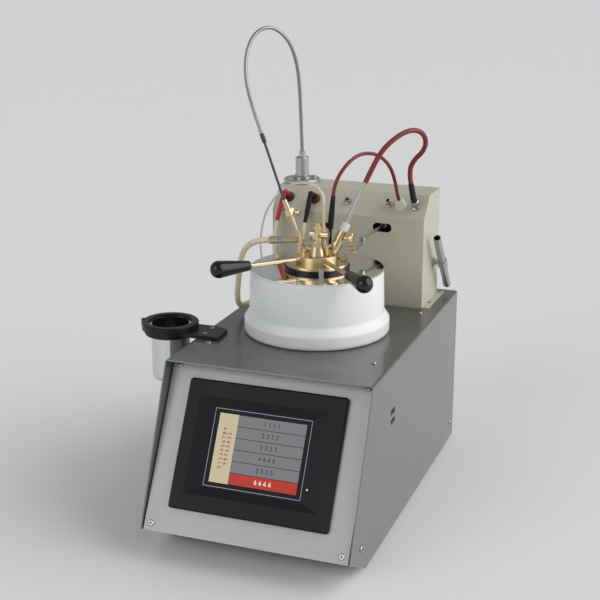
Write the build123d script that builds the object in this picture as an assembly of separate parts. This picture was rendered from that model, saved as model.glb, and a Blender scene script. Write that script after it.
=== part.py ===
"""Closed-cup flash point tester with a heated cup, a stirred lid and a touch screen.

Millimetres, +X to the right, +Y to the back, +Z up.  The origin is the middle of
the base tray's underside; the rubber feet hang below it.
"""
import os
from math import cos, pi, radians, sin, tan

from build123d import *

os.makedirs("parts", exist_ok=True)

# ---------------------------------------------------------------- cabinet
body_width = 275.0
body_depth = 510.0
body_height = 230.0
front_lip_height = 34.5        # height of the foremost edge
front_lean = 84.3              # how far the top edge stands behind the foremost one
chin_depth = 61.8              # run of the slope under the foremost edge
cover_sheet = 1.6
cover_bend = 3.0
sheet_fit = 0.3                # side gap of sheets that slide inside the cover
base_sheet = 1.6
base_front_gap = 16.2          # slope closed by the front panel's own flange
foot_radius = 9.0
foot_height = 8.0
foot_flange_radius = 11.5      # flange inside the tray that holds each foot in its hole
foot_flange_height = 2.0
foot_hole_gap = 0.1
foot_inset_x = 22.0
foot_inset_y = 20.0
screw_head_radius = 4.2
screw_head_height = 1.8

# ---------------------------------------------------------------- front panel and screen
panel_sheet = 2.0
panel_side_gap = 1.9
panel_foot_setback = 1.7
panel_top_setback = 21.4
panel_foot_rise = 0.1
panel_top_rise = 218.9
panel_flange = 14.0
bezel_width = 209.2
bezel_height = 164.2
bezel_bottom = 31.6            # up the panel from its lower edge
bezel_thickness = 7.0
bezel_edge_round = 2.0
bezel_slope_run = 22.0
bezel_back = 24.0
glass_width = 131.0
glass_height = 101.0
glass_rise = 63.3              # lower edge of the glass, up the panel
glass_thickness = 1.5
glass_recess = 4.0
window_width = 185.0
window_height = 141.0
panel_screw_inset = 9.0

# ---------------------------------------------------------------- tower
tower_left = -116.6
tower_right = 110.3
tower_front = 148.4
tower_back_edge = 236.0
tower_kink_rise = 129.0        # above the cabinet's top, as are the other rises
tower_rise = 158.7
tower_slant_run = 28.8
tower_sheet = 1.5
tower_flange = 9.7
tower_flange_length = 92.0
tower_strip_leg = 16.0
slot_x = 49.5
slot_drop = 0.9                # middle of the slot under the drive rod
slot_length = 28.0
slot_width = 13.0

# ---------------------------------------------------------------- heated well and cup
bath_y = 13.4                  # the cup's axis stands at x = 0 and this y
jacket_foot_radius = 98.0
jacket_foot_height = 18.0
jacket_shoulder_radius = 91.0
jacket_shoulder_rise = 29.0
jacket_top_radius = 89.4
jacket_height = 84.5
jacket_bore = 72.0
jacket_floor = 6.0
jacket_edge_round = 4.0
wiring_hole = 20.0
top_plate_radius = 89.0
top_plate_sheet = 2.0
bath_radius = 66.0
bath_bore_gap = 0.4
insulator_radius = 43.8
insulator_thickness = 4.5
cup_bore = 25.4
cup_wall = 2.5
cup_depth = 56.0
cup_flange_radius = 42.0
cup_flange_thickness = 1.6
seat_gap = 0.3                 # between parts that lift off each other

# ---------------------------------------------------------------- lid
lid_radius = 42.5
lid_sheet = 2.0
spigot_depth = 3.0
shutter_sheet = 1.5
shutter_gap = 0.3
shutter_radius = 23.5
hub_radius = 6.0
deck_sheet = 2.4
collar_radius = 27.6
collar_wall = 1.6
collar_height = 10.1
port_angle = -22.0             # the vapour port, seen from the lid's axis
port_half_angle = 9.0
port_inner = 15.0
port_outer = 22.5
shutter_travel = 20.0
arm_angle = 60.0
arm_half_angle = 8.0
drive_pin_angle = 21.0
drive_pin_radius = 1.5
drive_pin_reach = 49.0
handle_rod_radius = 2.8
handle_angles = (-133.8, -46.4)
handle_rise = 5.1              # above the lid plate's top face
grip_start = 98.0
grip_end = 153.0
grip_root_radius = 6.5
grip_ball_radius = 11.5
stirrer_radius = 2.0
running_gap = 0.05
upper_blade_reach = 6.0
lower_blade_reach = 16.0
blade_height = 7.0
blade_sheet = 1.2
gas_angle = 200.3              # the burner line leaves the lid this way
burner_rise = 28.6             # above the lid plate's top face
post_head = 12.5
post_reach = 22.7
post_radius = 3.0
probe_radius = 2.6
probe_tip_radius = 1.6

# ---------------------------------------------------------------- spare cup
holder_x = -183.6
holder_y = -60.5
holder_radius = 38.5
holder_step_radius = 35.0
holder_rise = 13.0
holder_lip = 10.0
holder_step = 7.0
holder_throat = 27.0
holder_mouth = 29.8
holder_ledge = 4.7
arm_sheet = 5.0
arm_end_x = -103.0
arm_front = -84.0
arm_back = -38.0
spare_radius = 26.5
spare_wall = 1.2
spare_depth = 77.0
spare_corner = 8.0
spare_flange = 29.4

WRITTEN = []


def save(shape, node):
    """Write one node and remember its name."""
    export_step(shape, f"parts/{node}.step")
    WRITTEN.append(node)


# ================================================================ helpers
def upright(radius, low, high, x=0.0, y=0.0):
    """Vertical cylinder between two heights."""
    return Pos(x, y, low) * Cylinder(radius, high - low, align=(Align.CENTER, Align.CENTER, Align.MIN))


def washer(outer, inner, low, high, x=0.0, y=0.0):
    """Vertical tube between two heights."""
    return upright(outer, low, high, x, y) - upright(inner, low - 1, high + 1, x, y)


def slab(x0, x1, y0, y1, z0, z1):
    """Upright block between two corners."""
    return Pos((x0 + x1) / 2, (y0 + y1) / 2, (z0 + z1) / 2) * Box(x1 - x0, y1 - y0, z1 - z0)


def bar(start, end, radius, end_radius=None):
    """Round bar, or a taper, from one point to another."""
    start = Vector(start)
    span = Vector(end) - start
    align = (Align.CENTER, Align.CENTER, Align.MIN)
    if end_radius is None:
        shape = Cylinder(radius, span.length, align=align)
    else:
        shape = Cone(radius, end_radius, span.length, align=align)
    return Plane(origin=start, z_dir=span) * shape


def turned(profile, x=0.0, y=0.0):
    """Turned part from a closed (radius, height) outline."""
    face = make_face(Plane.XZ * Polyline(*profile, close=True))
    return Pos(x, y, 0) * revolve(face, Axis.Z)


def side_prism(profile, x0, x1):
    """Prism along X from a closed (y, z) outline."""
    face = make_face(Plane.YZ * Polyline(*profile, close=True))
    return Pos(x0, 0, 0) * extrude(face, x1 - x0, dir=(1, 0, 0))


def folded_strip(path, thickness, x0, x1):
    """Sheet folded along a (y, z) path, its thickness laid to the left of the path."""
    points = [Vector(y, z) for y, z in path]
    runs = [(b - a).normalized() for a, b in zip(points, points[1:])]
    sides = [Vector(-run.Y, run.X) for run in runs]
    inner = [points[0] + sides[0] * thickness]
    for corner, before, after in zip(points[1:-1], sides, sides[1:]):
        middle = (before + after).normalized()
        inner.append(corner + middle * (thickness / middle.dot(before)))
    inner.append(points[-1] + sides[-1] * thickness)
    outline = [(p.X, p.Y) for p in points] + [(p.X, p.Y) for p in reversed(inner)]
    return side_prism(outline, x0, x1)


def sector(inner, outer, first, last, low, high):
    """Ring sector about the lid's axis between two angles in degrees."""
    steps = (first, (first + last) / 2, last)
    far = [Vector(outer * cos(radians(a)), outer * sin(radians(a))) for a in steps]
    near = [Vector(inner * cos(radians(a)), inner * sin(radians(a))) for a in steps]
    outline = [
        ThreePointArc(*far),
        Line(far[2], near[2]),
        ThreePointArc(near[2], near[1], near[0]),
        Line(near[0], far[0]),
    ]
    return Pos(0, bath_y, low) * extrude(make_face(outline), high - low, dir=(0, 0, 1))


def lid_point(radius, angle, height):
    """Point given by its distance and bearing from the lid's axis."""
    return Vector(radius * cos(radians(angle)), bath_y + radius * sin(radians(angle)), height)


def cord(points, diameter, node):
    """Round cord along straight runs joined by tangent arcs."""
    route = [Vector(point) for point in points]
    radii = []
    for before, corner, after in zip(route, route[1:], route[2:]):
        run_in = corner - before
        run_out = after - corner
        turn = run_in.get_angle(run_out)
        radii.append(0.45 * min(run_in.length, run_out.length) / tan(radians(turn) / 2))
    path = FilletPolyline(*route, radius=radii)
    section = Plane(origin=path @ 0, z_dir=path % 0) * Circle(diameter / 2)
    tube = sweep(section, path=path)
    expected = pi * diameter ** 2 / 4 * path.length
    print(f"{node}: length {path.length:.0f}, volume ratio {tube.volume / expected:.4f},",
          "radii", [round(radius) for radius in radii])
    save(tube, node)


def above(x, y, rise):
    """Point at a height above the cabinet's top."""
    return Vector(x, y, body_height + rise)


def over_lid(x, y, rise):
    """Point beside the lid's axis, at a height above the lid plate's top face."""
    return Vector(x, bath_y + y, lid_top + rise)


# ================================================================ levels, from the cabinet upwards
tower_kink = body_height + tower_kink_rise
tower_top = body_height + tower_rise
holder_top = body_height + holder_rise
plate_low = body_height + jacket_height
plate_top = plate_low + top_plate_sheet
flange_low = plate_top + insulator_thickness
flange_top = flange_low + cup_flange_thickness
cup_floor = flange_top - cup_depth
cup_bottom = cup_floor - cup_wall
cup_radius = cup_bore + cup_wall
lid_low = flange_top + seat_gap
lid_top = lid_low + lid_sheet
shutter_low = lid_top + shutter_gap
shutter_top = shutter_low + shutter_sheet
deck_low = shutter_top + shutter_gap
deck_top = deck_low + deck_sheet
collar_top = lid_top + collar_height
handle_height = lid_top + handle_rise
burner_height = lid_top + burner_rise


# ================================================================ cabinet
half_width = body_width / 2
front = -body_depth / 2
back = body_depth / 2
inner_half = half_width - cover_sheet
cover_underside = body_height - cover_sheet
lip = Vector(0, front, front_lip_height)
brow = Vector(0, front + front_lean, body_height)
chin = Vector(0, front + chin_depth, 0)
port_holes = [(-95.0, -76.5, 162.5, 169.5), (-95.0, -76.5, 150.0, 156.5)]


def make_cover():
    side = [(lip.Y, lip.Z), (brow.Y, brow.Z), (back, body_height), (back, 0), (chin.Y, chin.Z)]
    cover = side_prism(side, -half_width, half_width)
    long_edges = cover.edges().filter_by(Axis.Y).group_by(Axis.Z)[-1]
    cover = fillet(long_edges, cover_bend)
    hollow = slab(-inner_half, inner_half, front - 20, back + 20, -20, cover_underside)
    hollow_edges = hollow.edges().filter_by(Axis.Y).group_by(Axis.Z)[-1]
    cover -= fillet(hollow_edges, cover_bend - cover_sheet)
    cover -= upright(wiring_hole, cover_underside - 5, body_height + 5, 0, bath_y)
    cover -= slab(-60, 60, tower_front + 15, tower_front + 55, cover_underside - 5, body_height + 5)
    for y0, y1, z0, z1 in port_holes:
        cover -= slab(inner_half - 5, half_width + 5, y0, y1, z0, z1)
    return cover


def make_base():
    run_in = (chin - lip).normalized()
    start = lip + run_in * base_front_gap
    rear = back - base_sheet - 0.4
    path = [(start.Y, start.Z), (chin.Y, 0), (rear, 0), (rear, front_lip_height)]
    reach = inner_half - sheet_fit
    tray = folded_strip(path, base_sheet, -reach, reach)
    for x, y in foot_places:
        tray -= upright(foot_radius + foot_hole_gap, -5, 5, x, y)
    return tray


foot_places = [(side * (half_width - foot_inset_x), y)
               for side in (-1, 1) for y in (chin.Y + foot_inset_y, back - foot_inset_y)]


def make_feet():
    """Rubber feet pushed down through the tray's holes, each with its flange inside."""
    flange_high = base_sheet + foot_flange_height
    foot = turned([(0, -foot_height), (foot_radius - 2, -foot_height), (foot_radius, -foot_height + 2),
                   (foot_radius, base_sheet), (foot_flange_radius, base_sheet),
                   (foot_flange_radius, flange_high), (0, flange_high)])
    return Compound([Pos(x, y, 0) * foot for x, y in foot_places])


def round_head(center, direction, radius=screw_head_radius, height=screw_head_height):
    """Low domed screw head seated on a face."""
    head = Cylinder(radius, height, align=(Align.CENTER, Align.CENTER, Align.MIN))
    head = chamfer(head.edges().group_by(Axis.Z)[-1], height * 0.6)
    return Plane(origin=center, z_dir=direction) * head


def make_cover_screws():
    heads = [round_head((x, y, body_height), (0, 0, 1)) for x in (-113.0, 113.0) for y in (-93.0, 128.0)]
    for side in (-1, 1):
        for y, z in ((front + 42.0, 36.5), (back - 19.5, 25.7)):
            heads.append(round_head((side * half_width, y, z), (side, 0, 0)))
    return Compound(heads)


# ================================================================ front panel
up_front = (brow - lip).normalized()
into_front = Vector(0, up_front.Z, -up_front.Y)
panel_foot = lip + up_front * panel_foot_rise + into_front * panel_foot_setback
panel_head = lip + up_front * panel_top_rise + into_front * panel_top_setback
panel_up = (panel_head - panel_foot).normalized()
panel_normal = Vector(0, -panel_up.Z, panel_up.Y)
panel_plane = Plane(origin=panel_foot, x_dir=(1, 0, 0), z_dir=panel_normal)
panel_length = (panel_head - panel_foot).length
panel_half = inner_half - panel_side_gap
bezel_middle = bezel_bottom + bezel_height / 2
glass_middle = glass_rise + glass_height / 2


def panel_block(width, height, middle, low, high):
    """Block square to the panel, given by its heights above the panel's face."""
    return panel_plane * Pos(0, middle, (low + high) / 2) * Box(width, height, high - low)


def make_front_panel():
    panel = panel_block(2 * panel_half, panel_length, panel_length / 2, -panel_flange, 0)
    hollow = panel_block(2 * (panel_half - panel_sheet), panel_length, panel_length / 2 - panel_sheet,
                         -panel_flange - 5, -panel_sheet)
    window = panel_block(window_width, window_height, bezel_middle, -panel_flange - 5, 5)
    return panel - hollow - window


def make_bezel():
    frame = panel_block(bezel_width, bezel_height, bezel_middle, 0, bezel_thickness)
    corners = frame.edges().filter_by(lambda edge: abs(edge.tangent_at(0).dot(panel_normal)) > 0.99)
    frame = fillet(corners, bezel_edge_round * 2)
    outer_face = frame.faces().filter_by(lambda face: face.normal_at().dot(panel_normal) > 0.99)[0]
    frame = chamfer(outer_face.edges(), bezel_edge_round)
    low = panel_plane.offset(bezel_thickness - glass_recess)
    high = panel_plane.offset(bezel_thickness + 0.01)
    mouth = Rectangle(glass_width + 2 * bezel_slope_run, glass_height + bezel_slope_run)
    funnel = loft([
        low * Pos(0, glass_middle) * Rectangle(glass_width, glass_height),
        high * Pos(0, glass_middle) * mouth,
    ])
    glass_top = bezel_thickness - glass_recess
    glass_floor = glass_top - glass_thickness
    pocket = panel_block(glass_width, glass_height, glass_middle, glass_floor, glass_top + 0.5)
    back_shell = panel_block(window_width - 1, window_height - 1, bezel_middle, -bezel_back, 0)
    return frame + back_shell - funnel - pocket


def make_glass():
    top = bezel_thickness - glass_recess
    return panel_block(glass_width, glass_height, glass_middle, top - glass_thickness, top)


def make_panel_screws():
    places = [(side * (panel_half - panel_screw_inset), v)
              for side in (-1, 1) for v in (panel_screw_inset, panel_length - panel_screw_inset)]
    seats = [panel_plane.from_local_coords(Vector(x, v, 0)) for x, v in places]
    return Compound([round_head(seat, panel_normal) for seat in seats])


# ================================================================ rear
inlet_x = 88.0
inlet_z = 60.0
inlet_width = 24.5
inlet_height = 16.5
inlet_depth = 14.0
switch_x = 88.0
switch_z = 105.0
vent_x = -60.0
vent_z = 120.0
rear_sheet = 1.6
rear_face = back - 0.4


def rear_cut(x, z, width, height):
    return slab(x - width / 2, x + width / 2, back - 10, back + 10, z - height / 2, z + height / 2)


def make_rear_panel():
    reach = inner_half - sheet_fit
    low = front_lip_height + 0.3
    panel = slab(-reach, reach, rear_face - rear_sheet, rear_face, low, cover_underside - 1.0)
    panel -= rear_cut(inlet_x, inlet_z, inlet_width + 4.4, inlet_height + 4.4)
    panel -= rear_cut(switch_x, switch_z, 22.4, 14.4)
    for ring in (12.0, 20.0, 28.0):
        for quarter in range(4):
            middle = 45 + 90 * quarter
            half = 45 - 260 / ring / 2
            panel -= rear_grille(ring, middle - half, middle + half)
    return Compound(list(panel.solids()) + list(make_tower_back().solids()))


def rear_grille(ring, first, last):
    """One curved slot of the round air vent."""
    steps = (first, (first + last) / 2, last)
    outer = [Vector((ring + 2.2) * cos(radians(a)), (ring + 2.2) * sin(radians(a))) for a in steps]
    inner = [Vector((ring - 2.2) * cos(radians(a)), (ring - 2.2) * sin(radians(a))) for a in steps]
    outline = [ThreePointArc(*outer), Line(outer[2], inner[2]),
               ThreePointArc(inner[2], inner[1], inner[0]), Line(inner[0], outer[0])]
    plane = Plane(origin=(vent_x, back + 5, vent_z), x_dir=(1, 0, 0), z_dir=(0, -1, 0))
    return plane * extrude(make_face(outline), 12, dir=(0, 0, 1))


def make_inlet():
    shell = slab(inlet_x - inlet_width / 2 - 2, inlet_x + inlet_width / 2 + 2, rear_face - inlet_depth - 3,
                 rear_face, inlet_z - inlet_height / 2 - 2, inlet_z + inlet_height / 2 + 2)
    flange = slab(inlet_x - 20, inlet_x + 20, rear_face, rear_face + 2, inlet_z - 13, inlet_z + 13)
    flange = fillet(flange.edges().filter_by(Axis.Y), 4)
    socket = slab(inlet_x - inlet_width / 2, inlet_x + inlet_width / 2, rear_face - inlet_depth,
                  rear_face + 5, inlet_z - inlet_height / 2, inlet_z + inlet_height / 2)
    socket = chamfer(socket.edges().filter_by(Axis.Y).group_by(Axis.Z)[-1], 4)
    inlet = shell + flange - socket
    for x, z in ((-7, -2), (7, -2), (0, 2)):
        inlet += slab(inlet_x + x - 1, inlet_x + x + 1, rear_face - inlet_depth - 1, rear_face - 3,
                      inlet_z + z - 2, inlet_z + z + 2)
    return Compound(list(inlet.solids()) + list(make_switch_frame().solids()))


def make_switch_frame():
    frame = slab(switch_x - 11, switch_x + 11, rear_face - 14, rear_face, switch_z - 7, switch_z + 7)
    frame += slab(switch_x - 13, switch_x + 13, rear_face, rear_face + 1.6, switch_z - 9, switch_z + 9)
    hole = slab(switch_x - 9.5, switch_x + 9.5, rear_face - 12, rear_face + 5, switch_z - 5.5, switch_z + 5.5)
    return frame - hole


rocker_pivot = Vector(switch_x, rear_face - 4, switch_z)
rocker_tilt = 9.0


def make_rocker():
    """Rocker stored tipped to the off side; it turns about its pin along Z."""
    outline = [(-8.3, 5.6), (0.0, 4.4), (8.3, 5.6), (7.0, -3.0), (-7.0, -3.0)]
    plane = Plane(origin=(0, 0, -5.2), x_dir=(1, 0, 0), z_dir=(0, 0, 1))
    rocker = plane * extrude(make_face(Polyline(*outline, close=True)), 10.4, dir=(0, 0, 1))
    rocker = Rot(0, 0, rocker_tilt) * rocker
    pin = Cylinder(1.5, 10.9)
    return Pos(rocker_pivot) * (rocker + pin)


# ================================================================ tower
slant_foot = Vector(0, tower_front, tower_kink)
slant_head = Vector(0, tower_front + tower_slant_run, tower_top)
slant_up = (slant_head - slant_foot).normalized()
slant_normal = Vector(0, -slant_up.Z, slant_up.Y)
slant_middle = (slant_foot + slant_head) * 0.5
slant_plane = Plane(origin=slant_middle, x_dir=(1, 0, 0), z_dir=slant_normal)


def slant_spot(x, rise=0.0, out=0.0):
    """Point on the sloping connector face."""
    return slant_plane.from_local_coords(Vector(x, rise, out))


def make_tower(holes):
    side = [(tower_front, body_height), (tower_front, tower_kink), (slant_head.Y, tower_top),
            (tower_back_edge, tower_top), (tower_back_edge, body_height)]
    housing = side_prism(side, tower_left, tower_right)
    cavity = folded_cavity()
    housing -= cavity
    for wall, sign in ((tower_left, -1), (tower_right, 1)):
        housing -= flat_between(wall - sign * 9, wall + sign * 9, strip_start, strip_tuck, -5, tower_sheet)
    slot_middle = Pos(slot_x, tower_front, rod_z - slot_drop)
    slot = slot_middle * (Rot(90, 0, 0) * SlotOverall(slot_length, slot_width))
    housing -= extrude(slot, 6, both=True)
    for place, radius in holes:
        housing -= bar(place - slant_normal * 5, place + slant_normal * 5, radius)
    return housing


strip_start = tower_front + 1.6
strip_tuck = tower_back_edge - tower_sheet - sheet_fit    # the strip's inner part stops at the back plate


def flat_between(x0, x1, y0, y1, low, high):
    """Block given by two sides in any order and by its heights above the cabinet's top."""
    return slab(min(x0, x1), max(x0, x1), y0, y1, body_height + low, body_height + high)


def make_tower_strips():
    """Angle strips that tuck under the tower's side walls and take its screws."""
    strips = []
    for wall, sign in ((tower_left, -1), (tower_right, 1)):
        inner = wall - sign * tower_sheet
        leg = inner - sign * tower_sheet
        strip = flat_between(wall, wall + sign * tower_flange, strip_start, strip_start + tower_flange_length,
                             0, tower_sheet)
        strip += flat_between(leg, wall, strip_start, strip_tuck, 0, tower_sheet)
        strip += flat_between(leg, inner, strip_start, strip_tuck, 0, tower_strip_leg)
        strips.append(strip)
    return strips


def folded_cavity():
    """Room inside the tower's sheet, open at the bottom and the back."""
    lean = tower_sheet * tan(slant_up.get_angle(Vector(0, 0, 1)) / 2 * pi / 180)
    y0 = tower_front + tower_sheet
    z1 = tower_top - tower_sheet
    kink = tower_kink - lean
    brow_y = slant_head.Y + tower_sheet * tan(slant_up.get_angle(Vector(0, 1, 0)) / 2 * pi / 180)
    outline = [(y0, body_height - 5), (y0, kink), (brow_y, z1), (tower_back_edge + 5, z1),
               (tower_back_edge + 5, body_height - 5)]
    return side_prism(outline, tower_left + tower_sheet, tower_right - tower_sheet)


def make_tower_back():
    inset = tower_sheet + sheet_fit
    back_plate = slab(tower_left + inset, tower_right - inset, tower_back_edge - tower_sheet, tower_back_edge,
                      body_height, tower_top - inset)
    for row in range(5):
        z = tower_top - 58.7 + row * 9
        back_plate -= slab(-40, 40, tower_back_edge - 10, tower_back_edge + 5, z, z + 3.5)
    return back_plate


def make_tower_screws():
    seat = body_height + tower_sheet
    places = [(side_x + sign * tower_flange * 0.55, y)
              for side_x, sign in ((tower_left, -1), (tower_right, 1))
              for y in (strip_start + 28.0, strip_start + 86.0)]
    return Compound([round_head((x, y, seat), (0, 0, 1), 3.4) for x, y in places])


# ---------------------------------------------------------------- stirrer drive on the tower
drive_x = -92.0
drive_y = 206.0
flange_radius = 27.0
flange_thickness = 6.0
boss_radius = 9.8
boss_height = 32.0
boss_bore = 6.5
motor_radius = 21.0
motor_length = 58.0
rotor_radius = 3.0
boss_base = tower_top + flange_thickness
boss_top = boss_base + boss_height
gland_top = boss_top + 8.0


def make_motor_flange():
    root_radius = boss_radius + 2.4
    outline = [(boss_bore, tower_top), (flange_radius, tower_top), (flange_radius, boss_base - 1.2),
               (flange_radius - 1.2, boss_base), (root_radius, boss_base), (root_radius, boss_base + 3),
               (boss_radius, boss_base + 4.5), (boss_radius, boss_top - 1.5), (boss_radius - 1.5, boss_top),
               (4.6, boss_top), (4.6, gland_top), (2.9, gland_top), (2.9, boss_top - 2),
               (boss_bore, boss_top - 2)]
    flange = turned(outline, drive_x, drive_y)
    for index in range(4):
        angle = radians(45 + 90 * index)
        x = drive_x + 19.5 * cos(angle)
        y = drive_y + 19.5 * sin(angle)
        flange += upright(3.2, boss_base, boss_base + 2.4, x, y)
    return flange


def make_stirrer_motor():
    top = tower_top - tower_sheet
    motor = upright(motor_radius, top - motor_length, top, drive_x, drive_y)
    motor -= upright(rotor_radius + running_gap, top - motor_length + 14, top + 1, drive_x, drive_y)
    return motor + upright(12, top - motor_length - 4, top - motor_length, drive_x, drive_y)


def make_motor_rotor():
    low = tower_top - tower_sheet - motor_length + 15
    shaft = upright(rotor_radius, low, boss_top - 12, drive_x, drive_y)
    shaft += upright(boss_bore - 0.9, tower_top + 3, boss_top - 12, drive_x, drive_y)
    return shaft - slab(drive_x - 1, drive_x + 1, drive_y - 9, drive_y + 9, boss_top - 16, boss_top - 8)


# ---------------------------------------------------------------- shutter drive in the tower
rod_x = 48.6
rod_z = lid_top + 19.7
plunger_radius = 4.0
rod_radius = 2.2
actuator_front = tower_front + 30.0
actuator_length = 32.0
eye_thickness = 3.0
joint_spot = over_lid(40.5, 72.6, 15.1)
drive_pin_spot = lid_point(drive_pin_reach, drive_pin_angle, lid_top + 13.1)


def make_actuator():
    y0 = actuator_front
    body = slab(rod_x - 18, rod_x + 18, y0, y0 + actuator_length, rod_z - 14, rod_z + 12)
    body = fillet(body.edges().filter_by(Axis.Y), 3)
    body += bar((rod_x, y0 - 4, rod_z), (rod_x, y0, rod_z), 8)
    behind = y0 + actuator_length + 10
    return body - bar((rod_x, y0 - 10, rod_z), (rod_x, behind, rod_z), plunger_radius + running_gap)


def make_actuator_bracket():
    y0 = actuator_front
    top = rod_z - 14
    shelf = slab(rod_x - 18, rod_x + 18, y0, y0 + actuator_length, top - 2, top)
    wall = slab(rod_x - 18, rod_x + 18, y0 + actuator_length - 2, y0 + actuator_length, body_height, top)
    foot = slab(rod_x - 18, rod_x + 18, y0, y0 + actuator_length, body_height, body_height + 2)
    gusset = side_prism([(y0 + actuator_length - 2, top - 2), (y0 + 6, top - 2),
                         (y0 + actuator_length - 2, top - 40)], rod_x - 18, rod_x - 16)
    return shelf + wall + foot + gusset


def make_drive_rod():
    inner_end = Vector(rod_x, actuator_front + actuator_length - 8, rod_z)
    elbow = Vector(rod_x, tower_front + 12, rod_z)
    reach = joint_spot + Vector(0, 0, eye_thickness / 2)
    rod = bar(elbow, inner_end, plunger_radius)
    rod += Pos(elbow) * Sphere(rod_radius + 0.6)
    rod += bar(elbow, reach, rod_radius)
    rod += upright(4.6, joint_spot.Z, joint_spot.Z + eye_thickness, joint_spot.X, joint_spot.Y)
    rod -= upright(5.2, joint_spot.Z - 9, joint_spot.Z, joint_spot.X, joint_spot.Y)
    rod -= upright(3.4, joint_spot.Z + eye_thickness, joint_spot.Z + 9, joint_spot.X, joint_spot.Y)
    return rod - upright(1.6, joint_spot.Z - 5, joint_spot.Z + 9, joint_spot.X, joint_spot.Y)


def make_drive_link():
    low = joint_spot.Z - seat_gap - eye_thickness
    high = joint_spot.Z - seat_gap
    a = Vector(joint_spot.X, joint_spot.Y)
    b = Vector(drive_pin_spot.X, drive_pin_spot.Y)
    side = (b - a).normalized()
    across = Vector(-side.Y, side.X) * 2.6
    outline = [a + across, b + across, b - across, a - across]
    link = Pos(0, 0, low) * extrude(make_face(Polyline(*outline, close=True)), eye_thickness, dir=(0, 0, 1))
    link += upright(4.2, low, high, a.X, a.Y)
    link += upright(4.8, low, high, b.X, b.Y)
    link -= upright(2.9, low - 1, high + 1, b.X, b.Y)
    head_low = high + 2 * seat_gap + eye_thickness
    link += upright(1.6 - running_gap, high - 0.5, head_low + 0.5, a.X, a.Y)
    return link + upright(3.0, head_low, head_low + 1.8, a.X, a.Y)


# ================================================================ connectors on the tower
def fitting(x, profile, rise=0.0):
    """Turned fitting that stands square on the sloping face."""
    face = make_face(Plane.XZ * Polyline(*profile, close=True))
    return Plane(origin=slant_spot(x, rise), x_dir=(1, 0, 0), z_dir=slant_normal) * revolve(face, Axis.Z)


post_spots = {"red": -96.0, "black": -56.0}
boot_drops = {"red": Vector(-5.7, -17.03, -39.89), "black": Vector(-2.6, -17.03, -39.49)}
lead_diameter = 5.0
boot_radius = 3.7
empty_jack_x = -6.0
metal_socket_x = 55.8
round_socket_x = 72.5
coax_x = 94.7


def make_binding_post(x):
    return fitting(x, [(0, -14), (3, -14), (3, 0), (7.6, 0), (7.6, 2.4), (6.4, 2.8), (6.4, 6.6), (5.6, 7.6),
                       (2.1, 7.6), (2.1, -6), (0, -6)])


def boot_elbow(name):
    return slant_spot(post_spots[name] - 3.0, 0, 15.0)


boot_ends = {name: boot_elbow(name) + drop for name, drop in boot_drops.items()}


def make_plug_boot(name):
    """Right-angled plug cover that hangs from a binding post."""
    start = slant_spot(post_spots[name], 0, 7.6)
    elbow = boot_elbow(name)
    end = boot_ends[name]
    waist = elbow + (end - elbow) * 0.45
    neck = slant_spot(post_spots[name], 0, 12.0)
    boot = bar(start, neck, boot_radius) + Pos(neck) * Sphere(boot_radius) + bar(neck, elbow, boot_radius)
    boot += Pos(elbow) * Sphere(boot_radius) + bar(elbow, waist, boot_radius)
    boot += bar(waist, end, boot_radius, lead_diameter / 2 + 0.3)
    return boot + bar(slant_spot(post_spots[name], 0, -5.0), start, 2.0)


def make_empty_jack():
    return fitting(empty_jack_x, [(0, -10), (3, -10), (3, 0), (4.9, 0), (4.9, 2.6), (3.6, 3), (3.6, 7),
                                  (2, 7), (2, -6), (0, -6)])


def make_metal_socket():
    return fitting(metal_socket_x, [(0, -10), (3, -10), (3, 0), (4.6, 0), (4.6, 2.4), (3.4, 3), (3.4, 12),
                                    (2.6, 13), (2.1, 13), (2.1, -6), (0, -6)])


def make_round_connector():
    return fitting(round_socket_x, [(0, -10), (4, -10), (4, 0), (8, 0), (8, 2), (6.8, 3), (6.8, 9), (5, 12),
                                    (4.2, 16), (2.9, 17), (0, 17)])


def make_coax_socket():
    return fitting(coax_x, [(0, -10), (3.5, -10), (3.5, 0), (6.4, 0), (6.4, 2.2), (4.6, 3), (4.6, 6),
                            (5.8, 7), (5.8, 15), (4.6, 16.5), (0, 16.5)])


coax_top = slant_spot(coax_x, 0, 16.5)
coax_middle = coax_top + slant_normal * 5
coax_exit = coax_middle + Vector(-4.9, 2.635, 20.283)
coax_run = (coax_exit - coax_middle).normalized()


def make_coax_boot():
    boot = bar(coax_top, coax_middle, 4.4) + Pos(coax_middle) * Sphere(4.4)
    return boot + bar(coax_middle, coax_exit, 4.4, 3.9)


# ---------------------------------------------------------------- probe parking tube
parking_x = tower_right + 13.7
parking_top = above(parking_x, tower_front + 23.3, 99.6)
parking_low = above(parking_x, tower_front + 94.9, 12.1)
parking_radius = 5.6
parking_bore = 4.4


def make_parking_tube():
    tube = bar(parking_top, parking_low, parking_radius)
    direction = (parking_low - parking_top).normalized()
    return tube - bar(parking_top - direction * 2, parking_low - direction * 3, parking_bore)


def make_parking_bracket():
    middle = parking_top + (parking_low - parking_top) * 0.52
    stub = bar((tower_right, middle.Y, middle.Z), (middle.X, middle.Y, middle.Z), 4.0)
    stub += bar((tower_right, middle.Y, middle.Z), (tower_right + 2.5, middle.Y, middle.Z), 7.5)
    direction = (parking_low - parking_top).normalized()
    clip = bar(middle - direction * 6, middle + direction * 6, parking_radius + 1.6)
    bracket = stub + clip
    return bracket - bar(middle - direction * 20, middle + direction * 20, parking_radius)


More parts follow.
